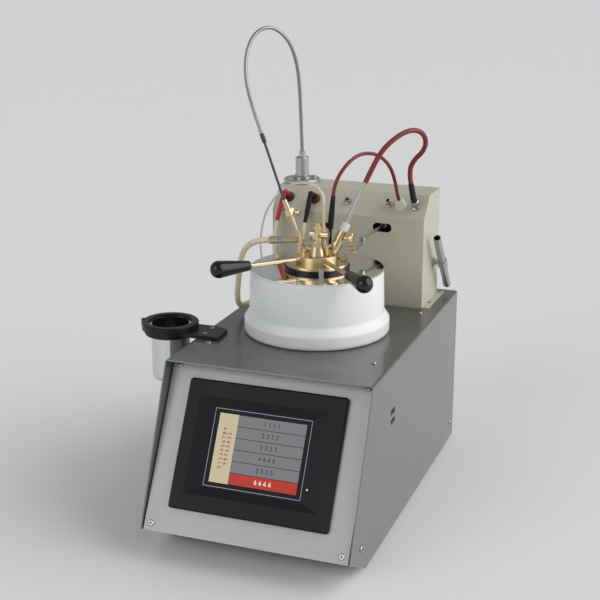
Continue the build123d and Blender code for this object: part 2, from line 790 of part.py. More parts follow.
# ================================================================ heated well
def make_jacket():
    outline = [
        (wiring_hole, body_height), (jacket_foot_radius - jacket_edge_round, body_height),
        (jacket_foot_radius - 1.2, body_height + 1.2), (jacket_foot_radius, body_height + jacket_edge_round),
        (jacket_foot_radius, body_height + jacket_foot_height),
        (jacket_shoulder_radius, body_height + jacket_shoulder_rise),
        (jacket_top_radius, plate_low), (jacket_bore, plate_low), (jacket_bore, body_height + jacket_floor),
        (wiring_hole, body_height + jacket_floor),
    ]
    return turned(outline, 0, bath_y)


def make_top_plate():
    return washer(top_plate_radius, cup_radius + bath_bore_gap, plate_low, plate_top, 0, bath_y)


def make_bath_block():
    bore = cup_radius + bath_bore_gap
    floor = body_height + jacket_floor
    outline = [(0, floor), (bath_radius, floor), (bath_radius, plate_low), (bore, plate_low),
               (bore, cup_bottom - seat_gap), (0, cup_bottom - seat_gap)]
    return turned(outline, 0, bath_y)


def make_insulator():
    return washer(insulator_radius, cup_radius + bath_bore_gap, plate_top, flange_low, 0, bath_y)


def make_test_cup():
    outline = [(0, cup_bottom), (cup_radius - 1.5, cup_bottom), (cup_radius, cup_bottom + 1.5),
               (cup_radius, flange_low), (cup_flange_radius, flange_low), (cup_flange_radius, flange_top),
               (cup_bore, flange_top), (cup_bore, cup_floor), (0, cup_floor)]
    return turned(outline, 0, bath_y)


def make_locator():
    """Small upright clip that centres the lid over the cup."""
    angle = -64.4
    post = slab(insulator_radius + 0.5, insulator_radius + 5.5, -3.2, 3.2, plate_top, plate_top + 9.5)
    post = fillet(post.edges().filter_by(Axis.X).group_by(Axis.Z)[-1], 2.6)
    foot = slab(insulator_radius + 5.5, insulator_radius + 9, -3.2, 3.2, plate_top, plate_top + 1.6)
    return Pos(0, bath_y, 0) * (Rot(0, 0, angle) * (post + foot))


# ================================================================ lid
probe_entry = over_lid(19.6, 10.0, 12.1)
probe_top = over_lid(51.2, 46.6, 100.5)
probe_axis = (probe_top - probe_entry).normalized()


def along_probe(distance):
    return probe_entry + probe_axis * distance


def probe_core(radius, first=-60.0, last=110.0):
    return bar(along_probe(first), along_probe(last), radius)


def make_lid_plate():
    plate = upright(lid_radius, lid_low, lid_top, 0, bath_y)
    plate = chamfer(plate.edges().group_by(Axis.Z)[-1], 0.5)
    plate += washer(cup_bore - 0.4, cup_bore - 2.2, lid_low - spigot_depth, lid_low, 0, bath_y)
    plate += upright(hub_radius, lid_top, deck_low, 0, bath_y)
    plate -= upright(stirrer_radius + 0.4, lid_low - 5, deck_low + 1, 0, bath_y)
    plate -= sector(port_inner, port_outer, port_angle - port_half_angle, port_angle + port_half_angle,
                    lid_low - 1, lid_top + 1)
    return plate - probe_core(probe_radius + 0.4)


def make_collar():
    collar = washer(collar_radius, collar_radius - collar_wall, lid_top, collar_top, 0, bath_y)
    collar = chamfer(collar.edges().group_by(Axis.Z)[-1], 0.5)
    collar += upright(collar_radius - collar_wall + 0.01, deck_low, deck_top, 0, bath_y)
    collar -= upright(stirrer_radius + 0.4, deck_low - 1, deck_top + 1, 0, bath_y)
    collar -= sector(port_inner, port_outer, port_angle - port_half_angle, port_angle + port_half_angle,
                     deck_low - 1, deck_top + 1)
    collar -= sector(collar_radius - collar_wall - 1, collar_radius + 1, arm_angle - arm_half_angle - 3,
                     arm_angle + arm_half_angle + shutter_travel + 3, lid_top - 1, deck_low)
    collar -= probe_core(probe_radius + 0.4)
    for angle in handle_angles:
        collar -= bar(lid_point(collar_radius - 4, angle, handle_height),
                      lid_point(collar_radius + 4, angle, handle_height), handle_rod_radius)
    for angle in (-110.0, -20.0, 130.0):
        hole = lid_point(collar_radius, angle, lid_top + 6)
        collar -= bar(hole, lid_point(collar_radius - 1.2, angle, lid_top + 6), 1.2)
    return collar


def make_handle_rods():
    rods = []
    for angle in handle_angles:
        start = lid_point(collar_radius - collar_wall, angle, handle_height)
        rim = lid_point(collar_radius, angle, handle_height)
        rods.append(bar(start, lid_point(grip_start + 8, angle, handle_height), handle_rod_radius)
                    + bar(rim, lid_point(collar_radius + 3.0, angle, handle_height), handle_rod_radius + 1.6))
    return Compound(rods)


def make_handle_grips():
    length = grip_end - grip_start
    ball = length - grip_ball_radius
    grip = turned([(0, 0), (grip_root_radius - 0.8, 0), (grip_root_radius, 0.8),
                   (grip_ball_radius * 0.97, ball - 3), (0, ball - 3)])
    grip += Pos(0, 0, ball) * Sphere(grip_ball_radius)
    grip -= Pos(0, 0, -1) * Cylinder(handle_rod_radius, 9.0, align=(Align.CENTER, Align.CENTER, Align.MIN))
    grips = []
    for angle in handle_angles:
        plane = Plane(origin=lid_point(grip_start, angle, handle_height),
                      z_dir=(cos(radians(angle)), sin(radians(angle)), 0))
        grips.append(plane * grip)
    return Compound(grips)


def make_shutter():
    """Rotating shutter with its drive arm and the pin that hangs from the arm."""
    window = port_angle - shutter_travel
    plate = washer(hub_radius + 4, hub_radius + running_gap, shutter_low, shutter_top, 0, bath_y)
    plate += sector(hub_radius + 3, shutter_radius, window - port_half_angle - 4,
                    port_angle + port_half_angle + 2, shutter_low, shutter_top)
    plate -= sector(port_inner, port_outer, window - port_half_angle, window + port_half_angle,
                    shutter_low - 1, shutter_top + 1)
    plate += sector(hub_radius + 3, 36, arm_angle - arm_half_angle, arm_angle + arm_half_angle,
                    shutter_low, shutter_top)
    plate += sector(31, 38, drive_pin_angle - 6, arm_angle + arm_half_angle, shutter_low, shutter_top)
    tab_low = drive_pin_spot.Z + 4.0
    arm = slab(36.5, 40, -3.2, 3.2, shutter_low, tab_low + 2.0)
    arm += slab(36.5, drive_pin_reach + 3.0, -3.2, 3.2, tab_low, tab_low + 2.0)
    arm += upright(drive_pin_radius, drive_pin_spot.Z - 3.6, tab_low, drive_pin_reach, 0)
    return plate + Pos(0, bath_y, 0) * (Rot(0, 0, drive_pin_angle) * arm)


# ---------------------------------------------------------------- stirrer
head_base_radius = 11.0
head_top_radius = 7.0
head_height = 23.0
head_top = deck_top + head_height
tube_top = over_lid(-46.8, 0, 79.3)
tube_joint = over_lid(-36.9, 0, 59.6)
tube_elbow = over_lid(-22.5, 0, 21.6)
tube_end = over_lid(-6.5, 0, 14.1)
guide_radius = 2.3
sleeve_radius = 3.2


def make_stirrer_head():
    bore = stirrer_radius + running_gap
    neck = head_top_radius + 1
    outline = [(bore, deck_top), (head_base_radius, deck_top), (head_base_radius, deck_top + 3),
               (neck, head_top - 8), (neck, head_top - 5), (head_top_radius, head_top - 4),
               (head_top_radius, head_top), (0, head_top), (0, head_top - 5), (bore, head_top - 5)]
    head = turned(outline, 0, bath_y)
    inlet = bar(tube_end, tube_end + (tube_elbow - tube_end) * 0.45, guide_radius + 1.7)
    head += inlet - upright(stirrer_radius + running_gap, deck_top, head_top - 5, 0, bath_y)
    socket = tube_end + (tube_elbow - tube_end) * 0.30
    return head - bar(socket, tube_elbow, guide_radius)


def make_guide_tube():
    """Bent brass tube that carries the flexible drive down to the stirrer."""
    start = tube_end + (tube_elbow - tube_end) * 0.30
    path = FilletPolyline(start, tube_elbow, tube_joint, radius=9.0)
    section = Plane(origin=path @ 0, z_dir=path % 0) * Circle(guide_radius)
    nut = Plane(origin=tube_joint, z_dir=tube_top - tube_joint) * extrude(RegularPolygon(7.0, 6), 8.0)
    tube = sweep(section, path=path) + bar(tube_joint, tube_top, sleeve_radius) + nut
    tube -= bar(tube_top - (tube_top - tube_joint).normalized() * 5.0, tube_top, extension_radius)
    return tube - bar(knob_root, knob_root + Vector(9, 0, 0), 1.5 + running_gap)


knob_root = tube_joint + (tube_top - tube_joint).normalized() * 4.5 + Vector(4.2, 0, 0)


def make_tube_knob():
    stem = bar(knob_root, knob_root + Vector(8, 0, 0), 1.5)
    head = bar(knob_root + Vector(4.6, 0, 0), knob_root + Vector(9.6, 0, 0), 4.0)
    return stem + chamfer(head.edges().filter_by(GeomType.CIRCLE), 0.6)


def make_stirrer():
    low = cup_floor + 7.0
    shaft = upright(stirrer_radius, low, head_top - 5.3, 0, bath_y)
    for middle, reach in ((low + 3, lower_blade_reach), (low + 32, upper_blade_reach)):
        hub = upright(3.2, middle - 3, middle + 3, 0, bath_y)
        blades = Compound([
            Rot(40, 0, 0) * Pos(reach / 2 + 1, 0, 0) * Box(reach - 2, blade_sheet, blade_height * 0.8),
            Rot(-40, 0, 0) * Pos(-reach / 2 - 1, 0, 0) * Box(reach - 2, blade_sheet, blade_height * 0.8),
        ])
        shaft += hub
        for blade in blades.solids():
            shaft += Pos(0, bath_y, middle) * blade
    return shaft


# ---------------------------------------------------------------- burner
burner_hose_end = 62.0
block_low = head_top
block_x = 3.7
nozzle_spot = over_lid(17.2, -10.0, 9.6)
hinge_spot = over_lid(17.2, 3.0, 21.1)
pipe_spot = (9.0, bath_y)
pipe_top = lid_top + 78.1
pipe_radius = 2.1


def burner_bar(near, far, radius, far_radius=None):
    """Bar or taper along the burner line, between two distances from the lid's axis."""
    start = lid_point(near, gas_angle, burner_height)
    end = lid_point(far, gas_angle, burner_height)
    return bar(start, end, radius, far_radius)


def make_burner_post():
    spot = lid_point(post_reach, gas_angle, 0)
    post = upright(post_radius, deck_top, burner_height + post_head, spot.X, spot.Y)
    post += upright(post_radius + 0.2, deck_top, deck_top + 3, spot.X, spot.Y)
    post += upright(post_radius + 0.8, burner_height - 7, burner_height + 7, spot.X, spot.Y)
    return post - burner_bar(8, 40, 1.6)


def make_burner_stem():
    """Threaded stem with the hose barb outside and the fine needle inside."""
    tube = burner_bar(post_reach + post_radius + 0.8, 44, 3.6)
    for index in range(6):
        ridge = post_reach + 6.5 + index * 2.2
        tube += burner_bar(ridge, ridge + 1.1, 4.0)
    tube += burner_bar(10, 30, 1.55)
    tube += burner_bar(7.0, 10, 0.6, 1.55)
    return tube + make_hose_barb()


def make_hose_barb():
    barb = burner_bar(44, burner_hose_end, 4.1)
    for index in range(4):
        groove = 47 + index * 3.6
        ring = burner_bar(groove, groove + 1.2, 6)
        barb -= ring - burner_bar(40, 70, 3.5)
    return barb


def make_burner_block():
    """Brass valve body on top of the stirrer head, with the ear that holds the burner."""
    y = bath_y
    low = block_low
    block = upright(6.0, low, low + 21, block_x - 2.5, y)
    block += bar((block_x - 12.5, y, low + 9), (block_x + 12.5, y, low + 9), 5.6)
    block += upright(4.2, low + 21, low + 24.5, block_x - 2.5, y)
    block += upright(3.4, low + 9, low + 20, pipe_spot[0], y)
    block += bar((block_x - 2.5, y - 11, low + 9), (block_x - 2.5, y, low + 9), 4.2)
    ear_x = hinge_spot.X - 4.6
    ear = slab(ear_x - 1.8, ear_x, hinge_spot.Y - 3.5, y + 4, hinge_spot.Z - 3.5, low + 8)
    block += ear
    block += bar((ear_x, hinge_spot.Y, hinge_spot.Z), (hinge_spot.X + 2.3, hinge_spot.Y, hinge_spot.Z), 1.4)
    block += bar((ear_x - 0.5, hinge_spot.Y, hinge_spot.Z), (ear_x + 1.8, hinge_spot.Y, hinge_spot.Z), 2.6)
    return block + upright(pipe_radius, low + 12, pipe_top, *pipe_spot)


def make_burner_nozzle():
    """Small swinging burner: it tips into the port as the shutter opens."""
    eye = bar(hinge_spot - Vector(2.2, 0, 0), hinge_spot + Vector(2.2, 0, 0), 3.0)
    arm_end = Vector(nozzle_spot.X, nozzle_spot.Y, hinge_spot.Z)
    arm = bar(hinge_spot, arm_end, 1.6)
    nozzle = upright(2.0, nozzle_spot.Z + 2, hinge_spot.Z + 3.5, nozzle_spot.X, nozzle_spot.Y)
    nozzle += bar((nozzle_spot.X, nozzle_spot.Y, nozzle_spot.Z + 2), nozzle_spot, 2.0, 1.1)
    burner = eye + arm + nozzle
    return burner - bar(hinge_spot - Vector(5, 0, 0), hinge_spot + Vector(5, 0, 0), 1.4 + running_gap)


# ---------------------------------------------------------------- probe
def make_probe_port():
    foot = Vector(probe_entry.X - probe_axis.X * 2.5, probe_entry.Y - probe_axis.Y * 2.5)
    port = upright(6.3, deck_top, probe_entry.Z + 4.0, foot.X, foot.Y)
    for index in range(3):
        port += upright(7.0, deck_top + 1.5 + index * 3.4, deck_top + 3.2 + index * 3.4, foot.X, foot.Y)
    adapter = bar(along_probe(2.0), along_probe(22.0), 6.6)
    adapter += bar(along_probe(9.0), along_probe(12.0), 8.0)
    adapter += bar(along_probe(22.0), along_probe(29.5), 5.4)
    port += adapter
    port -= probe_core(probe_radius + running_gap)
    port -= upright(collar_radius + 20, deck_top - 20, deck_top, 0, bath_y)
    port -= washer(collar_radius + 20, collar_radius - collar_wall, deck_top - 20, collar_top, 0, bath_y)
    return port - bar(clamp_spot, clamp_spot + Vector(20, 0, 0), 2.0 + running_gap)


clamp_spot = along_probe(20.0) + Vector(4.4, 0, 0)


def make_probe_clamp():
    stem = bar(clamp_spot, clamp_spot + Vector(12, 0, 0), 2.0)
    disc = bar(clamp_spot + Vector(9.8, 0, 0), clamp_spot + Vector(15.2, 0, 0), 9.4)
    disc = fillet(disc.edges().filter_by(GeomType.CIRCLE), 1.6)
    notches = bar(clamp_spot + Vector(5, 0, 12.6), clamp_spot + Vector(20, 0, 12.6), 4.2)
    for turn in range(3):
        disc -= Pos(clamp_spot) * Rot(120 * turn, 0, 0) * Pos(clamp_spot * -1) * notches
    return stem + disc


def make_ferrule():
    ferrule = bar(along_probe(29.5), along_probe(41.5), 5.9)
    ferrule = chamfer(ferrule.edges().filter_by(GeomType.CIRCLE), 0.8)
    return ferrule - probe_core(probe_radius + running_gap)


def make_probe():
    length = (probe_top - probe_entry).length
    probe = bar(along_probe(-8.0), along_probe(length), probe_radius)
    return probe + bar(along_probe(-58.0), along_probe(-8.0), probe_tip_radius)


detector_knee = over_lid(12.0, 18.0, 41.1)
detector_top = over_lid(16.0, 18.0, 86.1)
detector_diameter = 5.0


def make_detector_stem():
    stem = upright(2.2, deck_top, detector_knee.Z, detector_knee.X, detector_knee.Y)
    return stem + upright(4.0, deck_top, deck_top + 2.5, detector_knee.X, detector_knee.Y)


def make_detector_boot():
    waist = detector_knee + (detector_top - detector_knee) * 0.45
    boot = bar(detector_knee, waist, 4.0) + bar(waist, detector_top, 4.0, detector_diameter / 2 + 0.4)
    lobe = detector_knee + Vector(-5.5, -2.0, 4.5)
    boot += bar(detector_knee + Vector(0, 0, 3.0), lobe, 3.0) + Pos(lobe) * Sphere(3.9)
    return boot - upright(2.2, deck_top, detector_knee.Z, detector_knee.X, detector_knee.Y)


# ================================================================ spare cup and its holder
def make_holder():
    lip_low = holder_top - holder_lip
    step_low = lip_low - holder_step
    outline = [(holder_throat + 0.3, step_low), (holder_step_radius - 1, step_low),
               (holder_step_radius, step_low + 1), (holder_step_radius, lip_low),
               (holder_radius, lip_low), (holder_radius, holder_top - 1.5),
               (holder_radius - 1.5, holder_top), (holder_mouth, holder_top),
               (holder_mouth, holder_top - holder_ledge),
               (holder_throat + 0.3, holder_top - holder_ledge)]
    ring = turned(outline, holder_x, holder_y)
    arm_low = body_height
    arm_top = arm_low + arm_sheet
    plan = [(holder_x, arm_front), (arm_end_x, arm_front), (arm_end_x - 3, arm_back - 9),
            (arm_end_x - 22, arm_back), (holder_x, arm_back)]
    arm = Pos(0, 0, arm_low) * extrude(make_face(Polyline(*plan, close=True)), arm_sheet, dir=(0, 0, 1))
    top_edges = arm.edges().group_by(Axis.Z)[-1]
    arm = chamfer(top_edges, 0.8)
    arm -= upright(holder_radius - 2.0, arm_low - 1, arm_top + 1, holder_x, holder_y)
    lug = slab(holder_x - holder_radius - 4, holder_x - holder_radius + 2, holder_y - 3, holder_y + 3,
               lip_low, holder_top - 1.5)
    return ring + arm + lug


def make_holder_screws():
    top = body_height + arm_sheet
    return Compound([round_head((x, y, top), (0, 0, 1), 3.4) for x, y in ((-127.0, -50.0), (-127.0, -73.0))])


def make_spare_cup():
    rim = holder_top - holder_ledge + seat_gap
    bottom = rim - spare_depth
    r = spare_radius
    t = spare_wall
    k = spare_corner
    bend = cos(radians(45))
    profile = [
        Line((0, bottom), (r - k, bottom)),
        ThreePointArc((r - k, bottom), (r - k + k * bend, bottom + k - k * bend), (r, bottom + k)),
        Line((r, bottom + k), (r, rim)),
        Line((r, rim), (spare_flange, rim)),
        Line((spare_flange, rim), (spare_flange, rim + t)),
        Line((spare_flange, rim + t), (r - t, rim + t)),
        Line((r - t, rim + t), (r - t, bottom + k)),
        ThreePointArc((r - t, bottom + k), (r - k + (k - t) * bend, bottom + k - (k - t) * bend),
                      (r - k, bottom + t)),
        Line((r - k, bottom + t), (0, bottom + t)),
        Line((0, bottom + t), (0, bottom)),
    ]
    face = make_face([Plane.XZ * piece for piece in profile])
    return Pos(holder_x, holder_y, 0) * revolve(face, Axis.Z)


# ================================================================ electronics in the cabinet
def make_data_ports():
    ports = []
    for y0, y1, z0, z1 in port_holes:
        outer = slab(inner_half - 16, inner_half, y0 - 1, y1 + 1, z0 - 0.8, z1 + 0.8)
        outer -= slab(inner_half - 13, inner_half + 2, y0 + 1.2, y1 - 1.2, z0 + 0.8, z1 - 0.8)
        ports.append(outer)
    carrier = slab(inner_half - 18, inner_half - 16, port_holes[0][0] - 12, port_holes[0][1] + 12, 140, 180)
    carrier += slab(inner_half - 18, inner_half, port_holes[0][0] - 12, port_holes[0][0] - 10, 140, 180)
    carrier += slab(inner_half - 18, inner_half, port_holes[0][1] + 10, port_holes[0][1] + 12, 140, 180)
    return Compound(ports + [carrier])


# ---------------------------------------------------------------- fittings behind the jacket
hose_diameter = 8.0
gas_tube_diameter = 3.2
hose_end = above(-104.0, 100.0, 11.0)
hose_bearing = Vector(0.42, 0.907, 0)
gas_tube_end = above(-100.0, 90.0, 16.0)
grommet_top = body_height + 6.0
lead_feet = {"red": (-104.0, 124.0), "black": (-67.0, 126.0)}


def make_hose_nipples():
    elbow = hose_end + hose_bearing * 14
    hose_nipple = upright(6.0, body_height, body_height + 4, elbow.X, elbow.Y)
    hose_nipple += upright(4.2, body_height, elbow.Z + 2, elbow.X, elbow.Y)
    hose_nipple += bar(hose_end, elbow, hose_diameter / 2)
    tube_nipple = upright(5.0, body_height, body_height + 5, gas_tube_end.X, gas_tube_end.Y)
    tube_nipple += upright(2.4, body_height, gas_tube_end.Z, gas_tube_end.X, gas_tube_end.Y)
    return Compound([hose_nipple, tube_nipple])


def make_grommets():
    return Compound([turned([(0, body_height), (5.2, body_height), (5.2, body_height + 2), (3.8, grommet_top),
                             (0, grommet_top)], x, y) for x, y in lead_feet.values()])


# ================================================================ flexible drive end
drive_tip = over_lid(-92.0, 34.6, 159.1)
extension_radius = 1.7
tube_run = (tube_top - tube_joint).normalized()
extension_knee = tube_top + tube_run * 2.0
extension_run = (drive_tip - extension_knee).normalized()


def make_drive_extension():
    """Stiff dark end of the flexible drive, plugged into the brass sleeve."""
    tip = bar(tube_top - tube_run * 5.0, extension_knee, extension_radius)
    tip += Pos(extension_knee) * Sphere(extension_radius)
    tip += bar(extension_knee, drive_tip, extension_radius)
    return tip + bar(drive_tip - extension_run * 12, drive_tip, 3.0)


# ================================================================ cords, longest loop first
flex_route = [
    (drive_x, drive_y, gland_top), above(-92.5, 203, 244), above(-90.3, 192, 292),
    above(-89.3, 180, 330), above(-93.3, 165, 362), above(-102.8, 150, 381), above(-115.8, 135, 389.5),
    above(-128.4, 120, 382.5), above(-134.3, 105, 365), above(-134.0, 93, 341), above(-126.0, 79, 313),
    drive_tip + extension_run * 36, drive_tip,
]
flex_diameter = 5.0
probe_cable_route = [
    probe_top, above(60, 70.2, 220), above(69.7, 82, 239.5), above(83, 97, 253.3),
    above(97, 112.8, 260.8), above(108.3, 127.9, 257), above(112.9, 139.6, 242.5),
    above(107, 147, 226.5), above(92.7, 152.2, 213), coax_exit + coax_run * 18, coax_exit,
]
probe_cable_diameter = 7.0
round_top = slant_spot(round_socket_x, 0, 17.0)
detector_run = (detector_top - detector_knee).normalized()
detector_cable_route = [
    detector_top, detector_top + detector_run * 17, above(28.5, 46, 221), above(39.6, 64, 231.8),
    above(51.1, 84, 231.7), above(61.1, 104, 222.6), above(68.2, 123, 205.5), above(71.5, 135, 183),
    round_top + slant_normal * 10, round_top,
]
gas_tube_route = [
    (*pipe_spot, pipe_top), (*pipe_spot, pipe_top + 8), above(4.5, 16, 189.5), above(-6, 20.5, 195.5),
    above(-24, 27.5, 197), above(-43, 36.5, 192.5), above(-61, 45, 181.5), above(-76, 52, 167),
    above(-92, 61, 145), above(-102, 69, 120), above(-107.5, 77, 92), above(-107.5, 84, 64),
    above(gas_tube_end.X, gas_tube_end.Y, 37), gas_tube_end,
]
hose_start = lid_point(burner_hose_end, gas_angle, burner_height)
hose_bend = lid_point(burner_hose_end + 9.0, gas_angle, burner_height)
hose_route = [
    hose_start, hose_bend, above(-78.9, -14.2, 120.7), above(-88.6, -14.3, 114.3),
    above(-96.9, -11.6, 103.9), above(-102.3, -6.2, 89.8), above(-107.1, -0.3, 73.4),
    above(-111.5, 5, 55.4), above(-115.3, 10.4, 38.4), above(-118.2, 18.6, 24),
    above(-119.6, 31, 14.4), above(-119.6, 47, 10.8), above(-117.6, 65, 10.5),
    hose_end - hose_bearing * 18, hose_end,
]


def lead_route(name, *middle):
    """Heater lead from its plug boot, past hand-set points, down to its grommet."""
    start = boot_ends[name]
    drop = start + (start - boot_elbow(name)).normalized() * 11
    foot = lead_feet[name]
    return [start, drop, *middle, above(*foot, 34), (*foot, grommet_top)]


red_lead_route = lead_route("red", above(-106.6, 128.2, 84), above(-106.4, 127, 62))
black_lead_route = lead_route("black", above(-64.8, 128.6, 84), above(-66.4, 127.6, 62))


# ================================================================ write everything
def make_screws():
    heads = []
    for group in (make_cover_screws(), make_panel_screws(), make_tower_screws(), make_holder_screws()):
        heads.extend(group.solids())
    return Compound(heads)


def joined(*shapes):
    """Several loose solids kept as one node."""
    return Compound([solid for shape in shapes for solid in shape.solids()])


def main():
    holes = [(slant_spot(x), radius + 0.02) for x, radius in (
        (post_spots["red"], 3), (post_spots["black"], 3), (empty_jack_x, 3), (metal_socket_x, 3),
        (round_socket_x, 4), (coax_x, 3.5))]
    housing = make_tower(holes) - upright(boss_bore, tower_top - 5, tower_top + 5, drive_x, drive_y)
    nodes = {
        "cover_shell": make_cover(),
        "base_tray": make_base(),
        "rubber_feet": make_feet(),
        "screws": make_screws(),
        "front_panel": make_front_panel(),
        "screen_bezel": make_bezel(),
        "screen_glass": make_glass(),
        "rear_panels": make_rear_panel(),
        "power_inlet": make_inlet(),
        "power_rocker": make_rocker(),
        "data_ports": make_data_ports(),
        "tower_housing": joined(housing, *make_tower_strips()),
        "motor_flange": make_motor_flange(),
        "stirrer_motor": make_stirrer_motor(),
        "motor_rotor": make_motor_rotor(),
        "shutter_actuator": joined(make_actuator(), make_actuator_bracket()),
        "drive_rod": make_drive_rod(),
        "drive_link": make_drive_link(),
        "binding_posts": joined(*[make_binding_post(x) for x in post_spots.values()]),
        "red_plug_boot": make_plug_boot("red"),
        "black_plug_boot": make_plug_boot("black"),
        "tower_sockets": joined(make_empty_jack(), make_metal_socket(), make_coax_socket()),
        "round_connector": make_round_connector(),
        "coax_boot": make_coax_boot(),
        "parking_tube": joined(make_parking_tube(), make_parking_bracket()),
        "heat_jacket": make_jacket(),
        "top_plate": make_top_plate(),
        "bath_block": make_bath_block(),
        "insulating_ring": make_insulator(),
        "test_cup": make_test_cup(),
        "lid_locator": make_locator(),
        "hose_fittings": joined(make_hose_nipples(), make_grommets()),
        "cup_holder": make_holder(),
        "spare_cup": make_spare_cup(),
        "lid_plate": make_lid_plate(),
        "lid_collar": make_collar(),
        "handle_rods": make_handle_rods(),
        "handle_grips": make_handle_grips(),
        "shutter_plate": make_shutter(),
        "stirrer_head": make_stirrer_head(),
        "guide_tube": make_guide_tube(),
        "tube_knob": make_tube_knob(),
        "stirrer": make_stirrer(),
        "burner_post": make_burner_post(),
        "burner_stem": make_burner_stem(),
        "burner_block": make_burner_block(),
        "burner_nozzle": make_burner_nozzle(),
        "probe_port": make_probe_port(),
        "probe_clamp": make_probe_clamp(),
        "probe_ferrule": make_ferrule(),
        "temperature_probe": make_probe(),
        "flash_detector": joined(make_detector_stem(), make_detector_boot()),
        "drive_extension": make_drive_extension(),
    }
    for node, shape in nodes.items():
        save(shape, node)
    cord(flex_route, flex_diameter, "flex_shaft")
    cord(probe_cable_route, probe_cable_diameter, "probe_cable")
    cord(detector_cable_route, detector_diameter, "detector_cable")
    cord(gas_tube_route, gas_tube_diameter, "gas_tube")
    cord(hose_route, hose_diameter, "gas_hose")
    cord(red_lead_route, lead_diameter, "red_heater_lead")
    cord(black_lead_route, lead_diameter, "black_heater_lead")
    print(len(WRITTEN), "nodes")


main()
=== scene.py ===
"""Finishes, cords and small trim for a closed-cup flash point tester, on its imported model."""

import math

import bmesh
import bpy
from mathutils import Matrix, Vector


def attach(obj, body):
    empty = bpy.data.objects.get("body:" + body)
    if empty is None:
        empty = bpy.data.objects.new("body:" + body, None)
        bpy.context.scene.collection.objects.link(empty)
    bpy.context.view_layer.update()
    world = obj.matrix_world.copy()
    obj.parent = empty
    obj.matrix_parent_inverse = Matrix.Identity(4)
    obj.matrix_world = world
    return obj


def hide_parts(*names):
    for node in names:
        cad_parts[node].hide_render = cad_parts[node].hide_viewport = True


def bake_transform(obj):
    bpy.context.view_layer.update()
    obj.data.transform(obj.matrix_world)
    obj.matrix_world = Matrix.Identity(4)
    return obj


bl_info = {
    "name": "Flash Point Tester",
    "version": (1, 0, 0),
    "blender": (4, 5, 0),
    "location": "3D View > Sidebar > Tester",
    "description": "Dresses the packed flash point tester with its finishes, cords and trim",
    "category": "Object",
}

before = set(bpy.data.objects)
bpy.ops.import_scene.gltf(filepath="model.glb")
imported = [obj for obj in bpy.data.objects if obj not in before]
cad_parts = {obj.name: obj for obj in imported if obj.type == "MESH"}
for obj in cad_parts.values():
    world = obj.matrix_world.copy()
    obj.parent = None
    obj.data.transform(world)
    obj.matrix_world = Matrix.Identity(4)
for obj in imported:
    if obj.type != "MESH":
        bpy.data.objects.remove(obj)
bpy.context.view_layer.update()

# Axis of the well and its lid.
LID_AXIS = Vector((0.0, 0.0134, 0.0))
# Sloping front panel: middle of its lower edge, its directions, length and half width.
PANEL_FOOT = Vector((0.0, -0.253399, 0.033919))
PANEL_UP = Vector((0.0, 0.476708, 0.879061))
PANEL_OUT = Vector((0.0, -0.879061, 0.476708))
PANEL_LENGTH = 0.219685
PANEL_HALF_WIDTH = 0.134
# Slanting face of the tower, where the binding posts stand.
SLANT_MIDDLE = Vector((0.0, 0.1628, 0.37385))
SLANT_OUT = Vector((0.0, -0.7179, 0.696146))


# ---------------------------------------------------------------- settings
class FPT_FinishSettings(bpy.types.PropertyGroup):
    """Colours of the main finishes, how far they have aged, and how much shade is painted on the
    cover's top.
    """

    cover_colour: bpy.props.FloatVectorProperty(
        name="Cover paint", description="Base colour of the hammered grey cover",
        subtype="COLOR", size=3, min=0.0, max=1.0, default=(0.120, 0.128, 0.117))
    panel_colour: bpy.props.FloatVectorProperty(
        name="Front panel", description="Colour of the satin front panel",
        subtype="COLOR", size=3, min=0.0, max=1.0, default=(0.42, 0.425, 0.42))
    tower_colour: bpy.props.FloatVectorProperty(
        name="Tower paint", description="Colour of the drive tower",
        subtype="COLOR", size=3, min=0.0, max=1.0, default=(0.52, 0.50, 0.395))
    jacket_colour: bpy.props.FloatVectorProperty(
        name="Heat jacket", description="Colour of the white jacket round the well",
        subtype="COLOR", size=3, min=0.0, max=1.0, default=(0.86, 0.87, 0.86))
    brass_colour: bpy.props.FloatVectorProperty(
        name="Brass", description="Colour of the turned brass parts",
        subtype="COLOR", size=3, min=0.0, max=1.0, default=(0.72, 0.58, 0.35))
    cable_colour: bpy.props.FloatVectorProperty(
        name="Red cable", description="Colour of the red sensor cables",
        subtype="COLOR", size=3, min=0.0, max=1.0, default=(0.21, 0.011, 0.008))
    wear: bpy.props.FloatProperty(
        name="Wear", description="How far edges and corners are worn",
        subtype="FACTOR", min=0.0, max=1.0, default=0.35)
    # Shade painted on the cover's upward faces, darkening its top.
    painted_top_shade: bpy.props.FloatProperty(
        name="Painted top shade", description="How far the cover's upward faces are darkened",
        subtype="FACTOR", min=0.0, max=1.0, default=0.9)
    dust: bpy.props.FloatProperty(
        name="Dust", description="How much dust lies on the tower's upward faces",
        subtype="FACTOR", min=0.0, max=1.0, default=0.03)


class FPT_ScreenSettings(bpy.types.PropertyGroup):
    """Colours and sizes of the screen's picture."""

    row_colour: bpy.props.FloatVectorProperty(
        name="Rows", description="Colour of the grey menu rows",
        subtype="COLOR", size=3, min=0.0, max=1.0, default=(0.150, 0.155, 0.160))
    last_colour: bpy.props.FloatVectorProperty(
        name="Last row", description="Colour of the red menu row",
        subtype="COLOR", size=3, min=0.0, max=1.0, default=(0.38, 0.022, 0.011))
    side_colour: bpy.props.FloatVectorProperty(
        name="Side column", description="Colour of the cream column",
        subtype="COLOR", size=3, min=0.0, max=1.0, default=(0.46, 0.395, 0.265))
    glow: bpy.props.FloatProperty(
        name="Glow", description="Light given off by the screen",
        min=0.0, soft_max=2.0, default=0.42)
    screen_width: bpy.props.FloatProperty(
        name="Picture width", description="Width of the lit picture",
        unit="LENGTH", min=0.05, max=0.13, default=0.1152)
    screen_height: bpy.props.FloatProperty(
        name="Picture height", description="Height of the lit picture",
        unit="LENGTH", min=0.04, max=0.1, default=0.0860)


